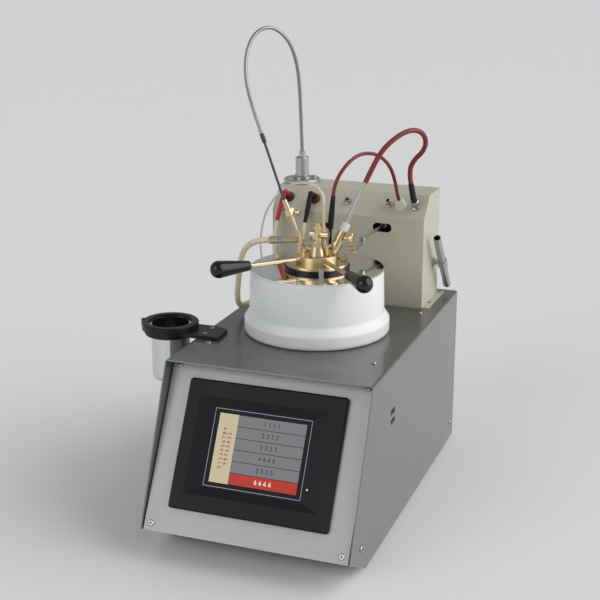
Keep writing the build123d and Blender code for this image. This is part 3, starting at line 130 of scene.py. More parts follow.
class FPT_StageSettings(bpy.types.PropertyGroup):
    """Camera and lamps."""

    focal_length: bpy.props.FloatProperty(
        name="Focal length", description="Focal length on a 36 mm sensor, in millimetres",
        min=10.0, max=300.0, default=74.16)
    sun_strength: bpy.props.FloatProperty(
        name="Daylight", description="Strength of the soft daylight from the right",
        min=0.0, default=2.2)
    fill_strength: bpy.props.FloatProperty(
        name="Fill light", description="Strength of the soft light from the front left",
        min=0.0, default=0.6)
    world_strength: bpy.props.FloatProperty(
        name="Sky", description="Strength of the even surrounding light",
        min=0.0, default=0.36)


def settings(context):
    """The finish, screen and stage settings, in that order."""
    scene = context.scene
    return scene.fpt_finish, scene.fpt_screen, scene.fpt_stage


# ---------------------------------------------------------------- shader nodes
def node_group(name, inputs, outputs):
    """Empty group with named inputs (label, kind, value) and outputs (label, kind)."""
    tree = bpy.data.node_groups.new(name, "ShaderNodeTree")
    for label, kind, value in inputs:
        socket = tree.interface.new_socket(name=label, in_out="INPUT", socket_type=kind)
        socket.default_value = value
    for label, kind in outputs:
        tree.interface.new_socket(name=label, in_out="OUTPUT", socket_type=kind)
    return tree, tree.nodes.new("NodeGroupInput"), tree.nodes.new("NodeGroupOutput")


def feed(tree, socket, value):
    """Link another socket's value in, or set a plain number, vector or colour."""
    if isinstance(value, bpy.types.NodeSocket):
        tree.links.new(value, socket)
    elif socket.type == "RGBA":
        socket.default_value = (*value[:3], 1.0)
    else:
        socket.default_value = value


def math_node(tree, operation, a, b, clamp=False):
    node = tree.nodes.new("ShaderNodeMath")
    node.operation = operation
    node.use_clamp = clamp
    feed(tree, node.inputs[0], a)
    feed(tree, node.inputs[1], b)
    return node.outputs[0]


def plus(tree, a, b, clamp=False):
    return math_node(tree, "ADD", a, b, clamp)


def minus(tree, a, b, clamp=False):
    return math_node(tree, "SUBTRACT", a, b, clamp)


def times(tree, a, b, clamp=False):
    return math_node(tree, "MULTIPLY", a, b, clamp)


# Places of the Mix node's sockets when it mixes colours.
MIX_FACTOR, MIX_A, MIX_B, MIX_RESULT = 0, 6, 7, 2


def mix_colour(tree, factor, a, b):
    node = tree.nodes.new("ShaderNodeMix")
    node.data_type = "RGBA"
    for place, value in ((MIX_FACTOR, factor), (MIX_A, a), (MIX_B, b)):
        feed(tree, node.inputs[place], value)
    return node.outputs[MIX_RESULT]


def object_place(tree):
    return tree.nodes.new("ShaderNodeTexCoord").outputs["Object"]


def noise(tree, vector, scale, detail, roughness=0.55):
    node = tree.nodes.new("ShaderNodeTexNoise")
    node.inputs["Detail"].default_value = detail
    node.inputs["Roughness"].default_value = roughness
    feed(tree, node.inputs["Scale"], scale)
    tree.links.new(vector, node.inputs["Vector"])
    return node.outputs["Fac"]


# ---------------------------------------------------------------- shared shader groups
def make_grain_group():
    """Small differences of colour and roughness, as in paint, rubber or moulded plastic."""
    tree, start, end = node_group(
        "Fine grain",
        [("Colour", "NodeSocketColor", (0.5, 0.5, 0.5, 1.0)),
         ("Roughness", "NodeSocketFloat", 0.5),
         ("Scale", "NodeSocketFloat", 400.0),
         ("Colour change", "NodeSocketFloat", 0.12),
         ("Roughness change", "NodeSocketFloat", 0.15)],
        [("Colour", "NodeSocketColor"), ("Roughness", "NodeSocketFloat"),
         ("Height", "NodeSocketFloat")])
    coords = object_place(tree)
    fine = noise(tree, coords, start.outputs["Scale"], detail=4.0)
    broad = noise(tree, coords, 14.0, detail=2.0)
    both = plus(tree, times(tree, fine, 0.5), times(tree, broad, 0.5))
    around = minus(tree, both, 0.5)
    swing = times(tree, around, start.outputs["Colour change"])
    tone = tree.nodes.new("ShaderNodeVectorMath")
    tone.operation = "SCALE"
    tree.links.new(start.outputs["Colour"], tone.inputs[0])
    tree.links.new(plus(tree, 1.0, times(tree, swing, 2.0)), tone.inputs["Scale"])
    tree.links.new(tone.outputs[0], end.inputs["Colour"])
    change = times(tree, around, start.outputs["Roughness change"])
    rough = plus(tree, start.outputs["Roughness"], times(tree, change, 2.0), clamp=True)
    tree.links.new(rough, end.inputs["Roughness"])
    tree.links.new(fine, end.inputs["Height"])
    return tree


def make_hammer_group():
    """Rounded dimples of a hammered paint."""
    tree, start, end = node_group(
        "Hammered paint",
        [("Colour", "NodeSocketColor", (0.1, 0.1, 0.1, 1.0)),
         ("Fleck", "NodeSocketColor", (0.2, 0.2, 0.2, 1.0)),
         ("Scale", "NodeSocketFloat", 420.0)],
        [("Colour", "NodeSocketColor"), ("Height", "NodeSocketFloat")])
    coords = object_place(tree)
    cells = tree.nodes.new("ShaderNodeTexVoronoi")
    cells.feature = "SMOOTH_F1"
    cells.inputs["Smoothness"].default_value = 0.6
    tree.links.new(start.outputs["Scale"], cells.inputs["Scale"])
    tree.links.new(coords, cells.inputs["Vector"])
    fleck = noise(tree, coords, 900.0, detail=3.0, roughness=0.6)
    height = plus(tree, cells.outputs["Distance"], times(tree, fleck, 0.35))
    spread = times(tree, minus(tree, height, 0.35), 0.9, clamp=True)
    flecked = mix_colour(tree, spread, start.outputs["Colour"], start.outputs["Fleck"])
    tree.links.new(flecked, end.inputs["Colour"])
    tree.links.new(height, end.inputs["Height"])
    return tree


def make_brushed_group():
    """Fine parallel lines of turning or brushing."""
    tree, start, end = node_group(
        "Machined lines",
        [("Roughness", "NodeSocketFloat", 0.25),
         ("Stretch", "NodeSocketVector", (40.0, 40.0, 2200.0)),
         ("Strength", "NodeSocketFloat", 0.2)],
        [("Roughness", "NodeSocketFloat"), ("Height", "NodeSocketFloat")])
    scaled = tree.nodes.new("ShaderNodeVectorMath")
    scaled.operation = "MULTIPLY"
    tree.links.new(object_place(tree), scaled.inputs[0])
    tree.links.new(start.outputs["Stretch"], scaled.inputs[1])
    lines = noise(tree, scaled.outputs[0], 1.0, detail=4.0, roughness=0.7)
    change = times(tree, minus(tree, lines, 0.5), start.outputs["Strength"])
    rough = plus(tree, start.outputs["Roughness"], change, clamp=True)
    tree.links.new(rough, end.inputs["Roughness"])
    tree.links.new(lines, end.inputs["Height"])
    return tree


def make_wear_group():
    """Edges rubbed lighter, and dust on faces that look up; where the dust colour is dark, as on
    the cover, this paints shade on those faces.
    """
    tree, start, end = node_group(
        "Wear, dust and painted shade",
        [("Colour", "NodeSocketColor", (0.5, 0.5, 0.5, 1.0)),
         ("Worn", "NodeSocketColor", (0.7, 0.7, 0.7, 1.0)),
         ("Dust and shade colour", "NodeSocketColor", (0.6, 0.59, 0.56, 1.0)),
         ("Wear", "NodeSocketFloat", 0.3),
         ("Dust", "NodeSocketFloat", 0.1)],
        [("Colour", "NodeSocketColor")])
    coords = object_place(tree)
    normal = tree.nodes.new("ShaderNodeNewGeometry").outputs["Normal"]
    bevel = tree.nodes.new("ShaderNodeBevel")
    bevel.samples = 4
    bevel.inputs["Radius"].default_value = 0.0011
    dot = tree.nodes.new("ShaderNodeVectorMath")
    dot.operation = "DOT_PRODUCT"
    tree.links.new(bevel.outputs[0], dot.inputs[0])
    tree.links.new(normal, dot.inputs[1])
    edge = minus(tree, 1.0, dot.outputs["Value"], clamp=True)
    edge = times(tree, edge, 6.0, clamp=True)
    patchy = times(tree, edge, noise(tree, coords, 160.0, detail=4.0, roughness=0.7))
    rubbed = times(tree, patchy, times(tree, start.outputs["Wear"], 1.6), clamp=True)
    worn = mix_colour(tree, rubbed, start.outputs["Colour"], start.outputs["Worn"])
    # Upward faces mix towards the dust colour: real dust on most finishes, painted shade on the
    # cover, whose dust colour is dark.
    upward = tree.nodes.new("ShaderNodeSeparateXYZ")
    tree.links.new(normal, upward.inputs[0])
    drift = noise(tree, coords, 60.0, detail=5.0, roughness=0.65)
    lying = times(tree, upward.outputs["Z"], drift, clamp=True)
    cover = times(tree, lying, start.outputs["Dust"], clamp=True)
    with_dust_and_shade = mix_colour(tree, cover, worn, start.outputs["Dust and shade colour"])
    tree.links.new(with_dust_and_shade, end.inputs["Colour"])
    return tree


GROUPS = {}


def use_group(tree, name, values):
    """Place a shared group in a material with its own values."""
    node = tree.nodes.new("ShaderNodeGroup")
    node.node_tree = GROUPS[name]
    for label, value in values.items():
        feed(tree, node.inputs[label], value)
    return node


# ---------------------------------------------------------------- materials
def new_material(name, **constants):
    """New material; even values go on the shader's own sockets, with _ for a space."""
    material = bpy.data.materials.new(name)
    material.use_nodes = True
    shader = material.node_tree.nodes["Principled BSDF"]
    for label, value in constants.items():
        shader.inputs[label.replace("_", " ")].default_value = value
    return material, material.node_tree, shader


def bump(tree, shader, height, depth, strength=1.0):
    node = tree.nodes.new("ShaderNodeBump")
    node.inputs["Distance"].default_value = depth
    node.inputs["Strength"].default_value = strength
    tree.links.new(height, node.inputs["Height"])
    tree.links.new(node.outputs["Normal"], shader.inputs["Normal"])
    return node


def grained(tree, colour, roughness, scale, change, **more):
    """Outputs of the fine grain: colour, roughness and height."""
    return use_group(tree, "grain", {"Colour": colour, "Roughness": roughness, "Scale": scale,
                                     "Colour change": change, **more}).outputs


def aged(tree, shader, colour, worn, wear, dust, **more):
    """Rubbed edges, and dust on upward faces, over a colour, as the shader's base colour; with a
    dark dust colour, as on the cover, the upward faces get painted shade instead.
    """
    node = use_group(tree, "wear", {"Colour": colour, "Worn": worn, "Wear": wear, "Dust": dust,
                                    **more})
    tree.links.new(node.outputs["Colour"], shader.inputs["Base Color"])


def paint(name, colour, roughness, worn, wear, dust, scale=600.0, change=0.10, depth=0.00004):
    material, tree, shader = new_material(name)
    grain = grained(tree, colour, roughness, scale, change)
    aged(tree, shader, grain["Colour"], worn, wear, dust)
    tree.links.new(grain["Roughness"], shader.inputs["Roughness"])
    bump(tree, shader, grain["Height"], depth)
    return material


def hammered(name, colour, wear, painted_top_shade):
    """Glossy hammered paint with lighter flecks, with shade painted on the faces that look up."""
    material, tree, shader = new_material(name, Roughness=0.34, Metallic=0.25,
                                          Coat_Weight=0.5, Coat_Roughness=0.08)
    fleck = tuple(c * 1.75 for c in colour)
    # A darker copy of the paint, laid on the upward faces as painted shade.
    shade = tuple(c * 0.35 for c in colour)
    hammer = use_group(tree, "hammer", {"Colour": colour, "Fleck": fleck, "Scale": 520.0})
    aged(tree, shader, hammer.outputs["Colour"], (0.34, 0.34, 0.33), wear, painted_top_shade,
         **{"Dust and shade colour": shade})
    bump(tree, shader, hammer.outputs["Height"], 0.00006, 0.6)
    return material


def metal(name, colour, roughness, stretch, strength=0.2, depth=0.00002, worn=None, wear=0.0,
          tone=0.14, metallic=1.0):
    """Turned or brushed metal; stretch gives its lines' fineness along x, y and z."""
    material, tree, shader = new_material(name, Metallic=metallic)
    grain = grained(tree, colour, roughness, 260.0, tone, **{"Roughness change": 0.10})
    lines = use_group(tree, "brushed", {"Roughness": grain["Roughness"], "Stretch": stretch,
                                        "Strength": strength})
    aged(tree, shader, grain["Colour"], worn or colour, wear, dust=0.03)
    tree.links.new(lines.outputs["Roughness"], shader.inputs["Roughness"])
    bump(tree, shader, lines.outputs["Height"], depth, 0.5)
    return material


def plastic(name, colour, roughness, scale=900.0, change=0.10, depth=0.00003, coat=0.0,
            dust=0.06, shine=0.5):
    material, tree, shader = new_material(name, Specular_IOR_Level=shine, Coat_Weight=coat)
    grain = grained(tree, colour, roughness, scale, change)
    worn = tuple(min(1.0, c * 1.6 + 0.03) for c in colour)
    aged(tree, shader, grain["Colour"], worn, 0.2, dust)
    tree.links.new(grain["Roughness"], shader.inputs["Roughness"])
    bump(tree, shader, grain["Height"], depth)
    return material


def translucent(name, colour, roughness, subsurface, radius, soft_edge=0.0):
    """White jacket plastic or hose: light enters it a little."""
    material, tree, shader = new_material(
        name, Subsurface_Weight=subsurface, Subsurface_Radius=radius, Subsurface_Scale=0.004,
        Coat_Weight=0.15, Coat_Roughness=0.3)
    grain = grained(tree, colour, roughness, 300.0, 0.05)
    aged(tree, shader, grain["Colour"], colour, wear=0.0, dust=0.05)
    tree.links.new(grain["Roughness"], shader.inputs["Roughness"])
    raised = bump(tree, shader, grain["Height"], 0.00003)
    if soft_edge:
        bevel = tree.nodes.new("ShaderNodeBevel")
        bevel.samples = 8
        bevel.inputs["Radius"].default_value = soft_edge
        tree.links.new(bevel.outputs["Normal"], raised.inputs["Normal"])
    return material


def clear_plastic(name, colour):
    material, tree, shader = new_material(name, Transmission_Weight=0.12, IOR=1.4)
    grain = grained(tree, colour, 0.28, 300.0, 0.06)
    tree.links.new(grain["Colour"], shader.inputs["Base Color"])
    tree.links.new(grain["Roughness"], shader.inputs["Roughness"])
    return material


def lit(name, colour, glow):
    """A lit patch of the screen behind its glass."""
    material, tree, shader = new_material(name, Emission_Strength=glow, Specular_IOR_Level=0.25)
    grain = grained(tree, colour, 0.3, 1500.0, 0.05)
    tree.links.new(grain["Colour"], shader.inputs["Base Color"])
    tree.links.new(grain["Colour"], shader.inputs["Emission Color"])
    tree.links.new(grain["Roughness"], shader.inputs["Roughness"])
    return material


MATERIALS = {}
TURNED = (60.0, 60.0, 2600.0)
EVEN = (300.0, 300.0, 300.0)
WORN_BRASS = (0.80, 0.68, 0.44)


def make_materials(context):
    """Every finish, under the short name that NODE_FINISH and the pieces use."""
    finish, screen, _ = settings(context)
    GROUPS.update(grain=make_grain_group(), hammer=make_hammer_group(),
                  brushed=make_brushed_group(), wear=make_wear_group())
    brass = tuple(finish.brass_colour)
    MATERIALS.update(
        # cabinet, screen and tower
        # The cover's paint gets painted shade on its upward faces.
        cover=hammered("Hammered grey paint", tuple(finish.cover_colour), finish.wear,
                       finish.painted_top_shade),
        panel=metal("Satin panel", tuple(finish.panel_colour), 0.42, (900.0, 12.0, 12.0),
                    strength=0.10, depth=0.00001, tone=0.06, metallic=0.35),
        tray=paint("Light grey tray paint", (0.42, 0.42, 0.41), 0.5,
                   worn=(0.6, 0.6, 0.6), wear=0.3, dust=0.1),
        bezel=plastic("Black bezel moulding", (0.010, 0.010, 0.012), 0.42, scale=1400.0,
                      change=0.2, depth=0.00004, dust=0.01, shine=0.18),
        glass=plastic("Black screen glass", (0.004, 0.004, 0.005), 0.10, scale=500.0,
                      change=0.1, depth=0.0, dust=0.0, shine=0.12),
        tower=paint("Warm grey tower paint", tuple(finish.tower_colour), 0.46,
                    worn=(0.72, 0.70, 0.64), wear=finish.wear, dust=finish.dust,
                    scale=700.0, change=0.08, depth=0.00007),
        # steel and other white metals
        steel=metal("Turned steel", (0.50, 0.50, 0.49), 0.3, TURNED,
                    strength=0.08, depth=0.000004, tone=0.06),
        zinc=metal("Bright nickel", (0.42, 0.415, 0.40), 0.3, EVEN,
                   strength=0.06, depth=0.000004, tone=0.06),
        mirror=metal("Polished steel", (0.78, 0.79, 0.80), 0.07, (220.0, 220.0, 3.0),
                     strength=0.05, depth=0.000004, tone=0.05),
        spare=metal("Polished cup steel", (0.70, 0.71, 0.72), 0.11, (6.0, 6.0, 900.0),
                    strength=0.06, depth=0.000002, tone=0.05),
        oxide=metal("Black oxide steel", (0.045, 0.043, 0.042), 0.42, TURNED,
                    strength=0.2, worn=(0.3, 0.3, 0.3), wear=0.4),
        bath=metal("Machined aluminium", (0.62, 0.63, 0.64), 0.35, TURNED),
        conduit=metal("Wound steel sheath", (0.34, 0.335, 0.32), 0.36, (90.0, 90.0, 2600.0),
                      strength=0.3, depth=0.0001),
        silver_line=metal("Silver line", (0.20, 0.23, 0.28), 0.3, EVEN, strength=0.1),
        # brass
        brass=metal("Turned brass", brass, 0.3, TURNED,
                    strength=0.14, depth=0.000008, worn=WORN_BRASS, wear=0.4, tone=0.14),
        brass_plate=metal("Lapped brass", brass, 0.28, (1200.0, 40.0, 40.0),
                          strength=0.14, depth=0.000008, worn=WORN_BRASS, wear=0.4, tone=0.14),
        rod_brass=metal("Drawn brass rod", (0.62, 0.52, 0.34), 0.32, (400.0, 400.0, 400.0),
                        strength=0.08, depth=0.000004, tone=0.08),
        # mouldings, rubber, cords and jacket
        rubber=plastic("Black rubber", (0.010, 0.010, 0.010), 0.6, scale=700.0,
                       change=0.25, depth=0.00008, dust=0.01, shine=0.3),
        black=plastic("Satin black moulding", (0.016, 0.016, 0.018), 0.4),
        holder=plastic("Black holder paint", (0.006, 0.006, 0.007), 0.38, scale=800.0,
                       change=0.2, depth=0.00005, dust=0.01, shine=0.35),
        laminate=plastic("Black laminate", (0.007, 0.007, 0.007), 0.3, scale=500.0,
                         change=0.3, dust=0.0, shine=0.3),
        red_rubber=plastic("Red rubber", (0.40, 0.014, 0.012), 0.45, scale=700.0, change=0.2),
        red_cable=plastic("Red cable sheath", tuple(finish.cable_colour), 0.38, scale=700.0,
                          change=0.16, depth=0.00004, coat=0.15),
        white=plastic("White plastic", (0.72, 0.72, 0.68), 0.35, scale=700.0, change=0.06),
        grip=plastic("Black grip", (0.005, 0.005, 0.006), 0.14, scale=300.0,
                     change=0.2, depth=0.00001, dust=0.0),
        dark_wire=plastic("Dark shaft sheath", (0.035, 0.032, 0.030), 0.42, change=0.2),
        # Near-black crosses on the screw heads: painted shade of the slots.
        recess=plastic("Screw recess", (0.02, 0.02, 0.02), 0.6),
        jacket=translucent("White jacket", tuple(finish.jacket_colour), 0.36, subsurface=0.25,
                           radius=(1.0, 0.95, 0.9), soft_edge=0.005),
        cream=translucent("Cream silicone", (0.74, 0.66, 0.46), 0.42, subsurface=0.3,
                          radius=(1.0, 0.8, 0.5)),
        clear=clear_plastic("Clear tube", (0.78, 0.76, 0.66)),
        # screen's picture and lamp
        row=lit("Menu row", tuple(screen.row_colour), screen.glow),
        last_row=lit("Red menu row", tuple(screen.last_colour), screen.glow),
        side=lit("Cream column", tuple(screen.side_colour), screen.glow * 1.1),
        ink=lit("Screen ink", (0.03, 0.03, 0.03), screen.glow * 0.2),
        red_ink=lit("Red ink", (0.30, 0.03, 0.015), screen.glow * 0.4),
        pale_ink=lit("Pale ink", (0.86, 0.80, 0.74), screen.glow),
        led=lit("Green lamp", (0.42, 0.55, 0.08), 0.6),
    )


NODE_FINISH = {
    "cover_shell": "cover", "base_tray": "tray", "rubber_feet": "rubber", "screws": "zinc",
    "front_panel": "panel", "screen_bezel": "bezel", "screen_glass": "glass",
    "rear_panels": "tray", "power_inlet": "black", "power_rocker": "black",
    "data_ports": "steel", "tower_housing": "tower", "motor_flange": "steel",
    "stirrer_motor": "oxide", "motor_rotor": "steel", "shutter_actuator": "oxide",
    "drive_rod": "steel", "drive_link": "steel", "binding_posts": "black",
    "red_plug_boot": "red_rubber", "black_plug_boot": "rubber", "tower_sockets": "zinc",
    "round_connector": "white", "coax_boot": "rubber", "parking_tube": "steel",
    "heat_jacket": "jacket", "top_plate": "mirror", "bath_block": "bath",
    "insulating_ring": "laminate", "test_cup": "brass", "lid_locator": "mirror",
    "hose_fittings": "steel", "cup_holder": "holder", "spare_cup": "spare",
    "lid_plate": "brass_plate", "lid_collar": "brass", "handle_rods": "rod_brass",
    "handle_grips": "grip", "shutter_plate": "brass_plate", "stirrer_head": "brass",
    "guide_tube": "brass", "tube_knob": "brass", "stirrer": "steel", "burner_post": "brass",
    "burner_stem": "brass", "burner_block": "brass", "burner_nozzle": "brass",
    "probe_port": "brass", "probe_clamp": "brass", "probe_ferrule": "white",
    "temperature_probe": "steel", "flash_detector": "rubber", "drive_extension": "dark_wire",
}


# ---------------------------------------------------------------- mesh helpers
def mesh_object(name, bm, key, body, smooth=True):
    """Turn a bmesh into a finished piece that rides on a body."""
    mesh = bpy.data.meshes.new(name)
    bm.normal_update()
    bm.to_mesh(mesh)
    bm.free()
    if smooth:
        mesh.shade_smooth()
        mesh.set_sharp_from_angle(angle=math.radians(35))
    obj = bpy.data.objects.new(name, mesh)
    bpy.context.collection.objects.link(obj)
    obj.data.materials.append(MATERIALS[key])
    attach(obj, body)


def basis(origin, across, out):
    """Matrix at origin whose X runs across and whose Z looks out."""
    z = Vector(out).normalized()
    x = (Vector(across) - z * Vector(across).dot(z)).normalized()
    y = z.cross(x)
    matrix = Matrix((x, y, z)).transposed().to_4x4()
    matrix.translation = Vector(origin)
    return matrix


def add_block(bm, matrix, size, round_by=0.0, at=(0.0, 0.0, 0.0)):
    made = bmesh.ops.create_cube(bm, size=1.0)["verts"]
    scaled = Matrix.Translation(at) @ Matrix.Diagonal((*size, 1.0))
    bmesh.ops.transform(bm, matrix=matrix @ scaled, verts=made)
    if round_by:
        edges = list({edge for vert in made for edge in vert.link_edges})
        bmesh.ops.bevel(bm, geom=edges, offset=round_by, segments=2, profile=0.5,
                        affect="EDGES")


def add_ring(bm, matrix, profile):
    """Closed ring turned from a (radius, height) outline."""
    sides = 40
    turns = [2 * math.pi * i / sides for i in range(sides)]
    loops = []
    for radius, height in profile:
        loops.append([bm.verts.new(matrix @ Vector((radius * math.cos(turn),
                                                    radius * math.sin(turn), height)))
                      for turn in turns])
    for first, second in zip(loops, loops[1:] + loops[:1]):
        for i in range(sides):
            j = (i + 1) % sides
            bm.faces.new((first[i], first[j], second[j], second[i]))


def panel_point(x, up, out):
    return PANEL_FOOT + Vector((x, 0, 0)) + PANEL_UP * up + PANEL_OUT * out


def panel_matrix(x, up, out):
    return basis(panel_point(x, up, out), (1, 0, 0), PANEL_OUT)


# ---------------------------------------------------------------- cords
# Each route's points are its spline's control points. blend gives the ends held by the cabinet
# and by the lid; a cord that has them is baked in place rather than riding on its body.
CORDS = {
    "flex_shaft": dict(
        width=0.005, length=0.388, key="conduit", slot="conduit", body="cabinet",
        stiffness="medium", blend=((-0.092, 0.206, 0.4347), (-0.092, 0.048, 0.484)),
        points=[(-0.092, 0.206, 0.4347), (-0.0925, 0.203, 0.474), (-0.0903, 0.192, 0.522),
                (-0.0893, 0.180, 0.560), (-0.0933, 0.165, 0.592), (-0.1028, 0.150, 0.611),
                (-0.1158, 0.135, 0.6195), (-0.1284, 0.120, 0.6125), (-0.1343, 0.105, 0.595),
                (-0.1340, 0.093, 0.571), (-0.1260, 0.079, 0.543),
                (-0.10879, 0.06086, 0.51308), (-0.092, 0.048, 0.484)]),
    "probe_cable": dict(
        width=0.007, length=0.210, key="red_cable", slot="red_cable", body="cabinet",
        stiffness="limp", blend=((0.0898, 0.150, 0.4091), (0.0512, 0.060, 0.4254)),
        points=[(0.0512, 0.060, 0.4254), (0.060, 0.0702, 0.450), (0.0697, 0.082, 0.4695),
                (0.083, 0.097, 0.4833), (0.097, 0.1128, 0.4908), (0.1083, 0.1279, 0.487),
                (0.1129, 0.1396, 0.4725), (0.107, 0.147, 0.4565), (0.0927, 0.1522, 0.443),
                (0.08561, 0.15226, 0.42646), (0.0898, 0.150, 0.4091)]),
    "detector_cable": dict(
        width=0.005, length=0.200, key="red_cable", slot="red_cable", body="cabinet",
        stiffness="limp", blend=((0.0725, 0.15060, 0.38568), (0.016, 0.0314, 0.411)),
        points=[(0.016, 0.0314, 0.411), (0.0175, 0.0314, 0.4279), (0.0285, 0.046, 0.451),
                (0.0396, 0.064, 0.4618), (0.0511, 0.084, 0.4617), (0.0611, 0.104, 0.4526),
                (0.0682, 0.123, 0.4355), (0.0715, 0.135, 0.413), (0.0725, 0.14342, 0.39265),
                (0.0725, 0.15060, 0.38568)]),
    "gas_tube": dict(
        width=0.0032, length=0.280, key="clear", slot="clear_tube", body="cabinet",
        stiffness="medium", blend=((-0.100, 0.090, 0.246), (0.009, 0.0134, 0.403)),
        points=[(0.009, 0.0134, 0.403), (0.009, 0.0134, 0.411), (0.0045, 0.016, 0.4195),
                (-0.006, 0.0205, 0.4255), (-0.024, 0.0275, 0.427), (-0.043, 0.0365, 0.4225),
                (-0.061, 0.045, 0.4115), (-0.076, 0.052, 0.397), (-0.092, 0.061, 0.375),
                (-0.102, 0.069, 0.350), (-0.1075, 0.077, 0.322), (-0.1075, 0.084, 0.294),
                (-0.100, 0.090, 0.267), (-0.100, 0.090, 0.246)]),
    "gas_hose": dict(
        width=0.008, length=0.222, key="cream", slot="cream_hose", body="cabinet",
        stiffness="limp", blend=((-0.104, 0.100, 0.241), (-0.05815, -0.00811, 0.3535)),
        points=[(-0.05815, -0.00811, 0.3535), (-0.06659, -0.01123, 0.3535),
                (-0.0789, -0.0142, 0.3507), (-0.0886, -0.0143, 0.3443),
                (-0.0969, -0.0116, 0.3339), (-0.1023, -0.0062, 0.3198),
                (-0.1071, -0.0003, 0.3034), (-0.1115, 0.005, 0.2854),
                (-0.1153, 0.0104, 0.2684), (-0.1182, 0.0186, 0.254),
                (-0.1196, 0.031, 0.2444), (-0.1196, 0.047, 0.2408), (-0.1176, 0.065, 0.2405),
                (-0.11156, 0.08367, 0.241), (-0.104, 0.100, 0.241)]),
    "red_heater_lead": dict(
        width=0.005, length=0.110, key="cream", slot="cream_hose", body="cabinet",
        stiffness="medium", blend=None,
        points=[(-0.1047, 0.135, 0.3444), (-0.10616, 0.13112, 0.33421),
                (-0.1066, 0.1282, 0.314), (-0.1064, 0.127, 0.292), (-0.104, 0.124, 0.264),
                (-0.104, 0.124, 0.236)]),
    "black_heater_lead": dict(
        width=0.005, length=0.110, key="cream", slot="cream_hose", body="cabinet",
        stiffness="medium", blend=None,
        points=[(-0.0616, 0.135, 0.3448), (-0.06226, 0.13114, 0.33454),
                (-0.0648, 0.1286, 0.314), (-0.0664, 0.1276, 0.292), (-0.067, 0.126, 0.264),
                (-0.067, 0.126, 0.236)]),
}


def route_curve(name, points):
    curve = bpy.data.curves.new(name, "CURVE")
    curve.dimensions = "3D"
    curve.resolution_u = 12
    spline = curve.splines.new("NURBS")
    spline.points.add(len(points) - 1)
    for point, spot in zip(spline.points, points):
        point.co = (*spot, 1.0)
    spline.order_u = 3
    spline.use_endpoint_u = True
    return curve


def make_cord(name, facts):
    """Smooth tube along the cord's route, as a mesh."""
    curve = route_curve(name + "_route", facts["points"])
    holder = bpy.data.objects.new(name + "_route", curve)
    bpy.context.collection.objects.link(holder)
    line = bpy.data.meshes.new_from_object(holder)
    curve.bevel_depth = facts["width"] / 2
    curve.bevel_resolution = 5
    curve.use_fill_caps = True
    mesh = bpy.data.meshes.new_from_object(holder)
    bpy.data.objects.remove(holder)
    mesh.name = name + "_cord"
    mesh.materials.clear()
    mesh.materials.append(MATERIALS[facts["key"]])
    mesh.shade_smooth()
    obj = bpy.data.objects.new(name + "_cord", mesh)
    bpy.context.collection.objects.link(obj)
    if facts["blend"]:
        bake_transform(obj)
    else:
        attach(obj, facts["body"])
    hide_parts(name)


# ---------------------------------------------------------------- operators
# The camera looks this many degrees down, and turned left from straight along y.
CAMERA_PLACE = (0.53097, -1.48954, 0.75703)
CAMERA_DOWN, CAMERA_TURN = 16.991, 20.278
LAMP_TARGET = Vector((0.0, 0.0, 0.2))
FLOOR_SIZE = (40.0, 40.0, 0.01)
FLOOR_MIDDLE = (0.0, 0.0, -0.0131)
# What the surroundings give as light, in polished metal, and to the camera.
SKY_LIGHT = (0.93, 0.96, 1.00)
SKY_MIRRORED = (0.34, 0.35, 0.36)
SKY_SEEN = (0.66, 0.66, 0.655)


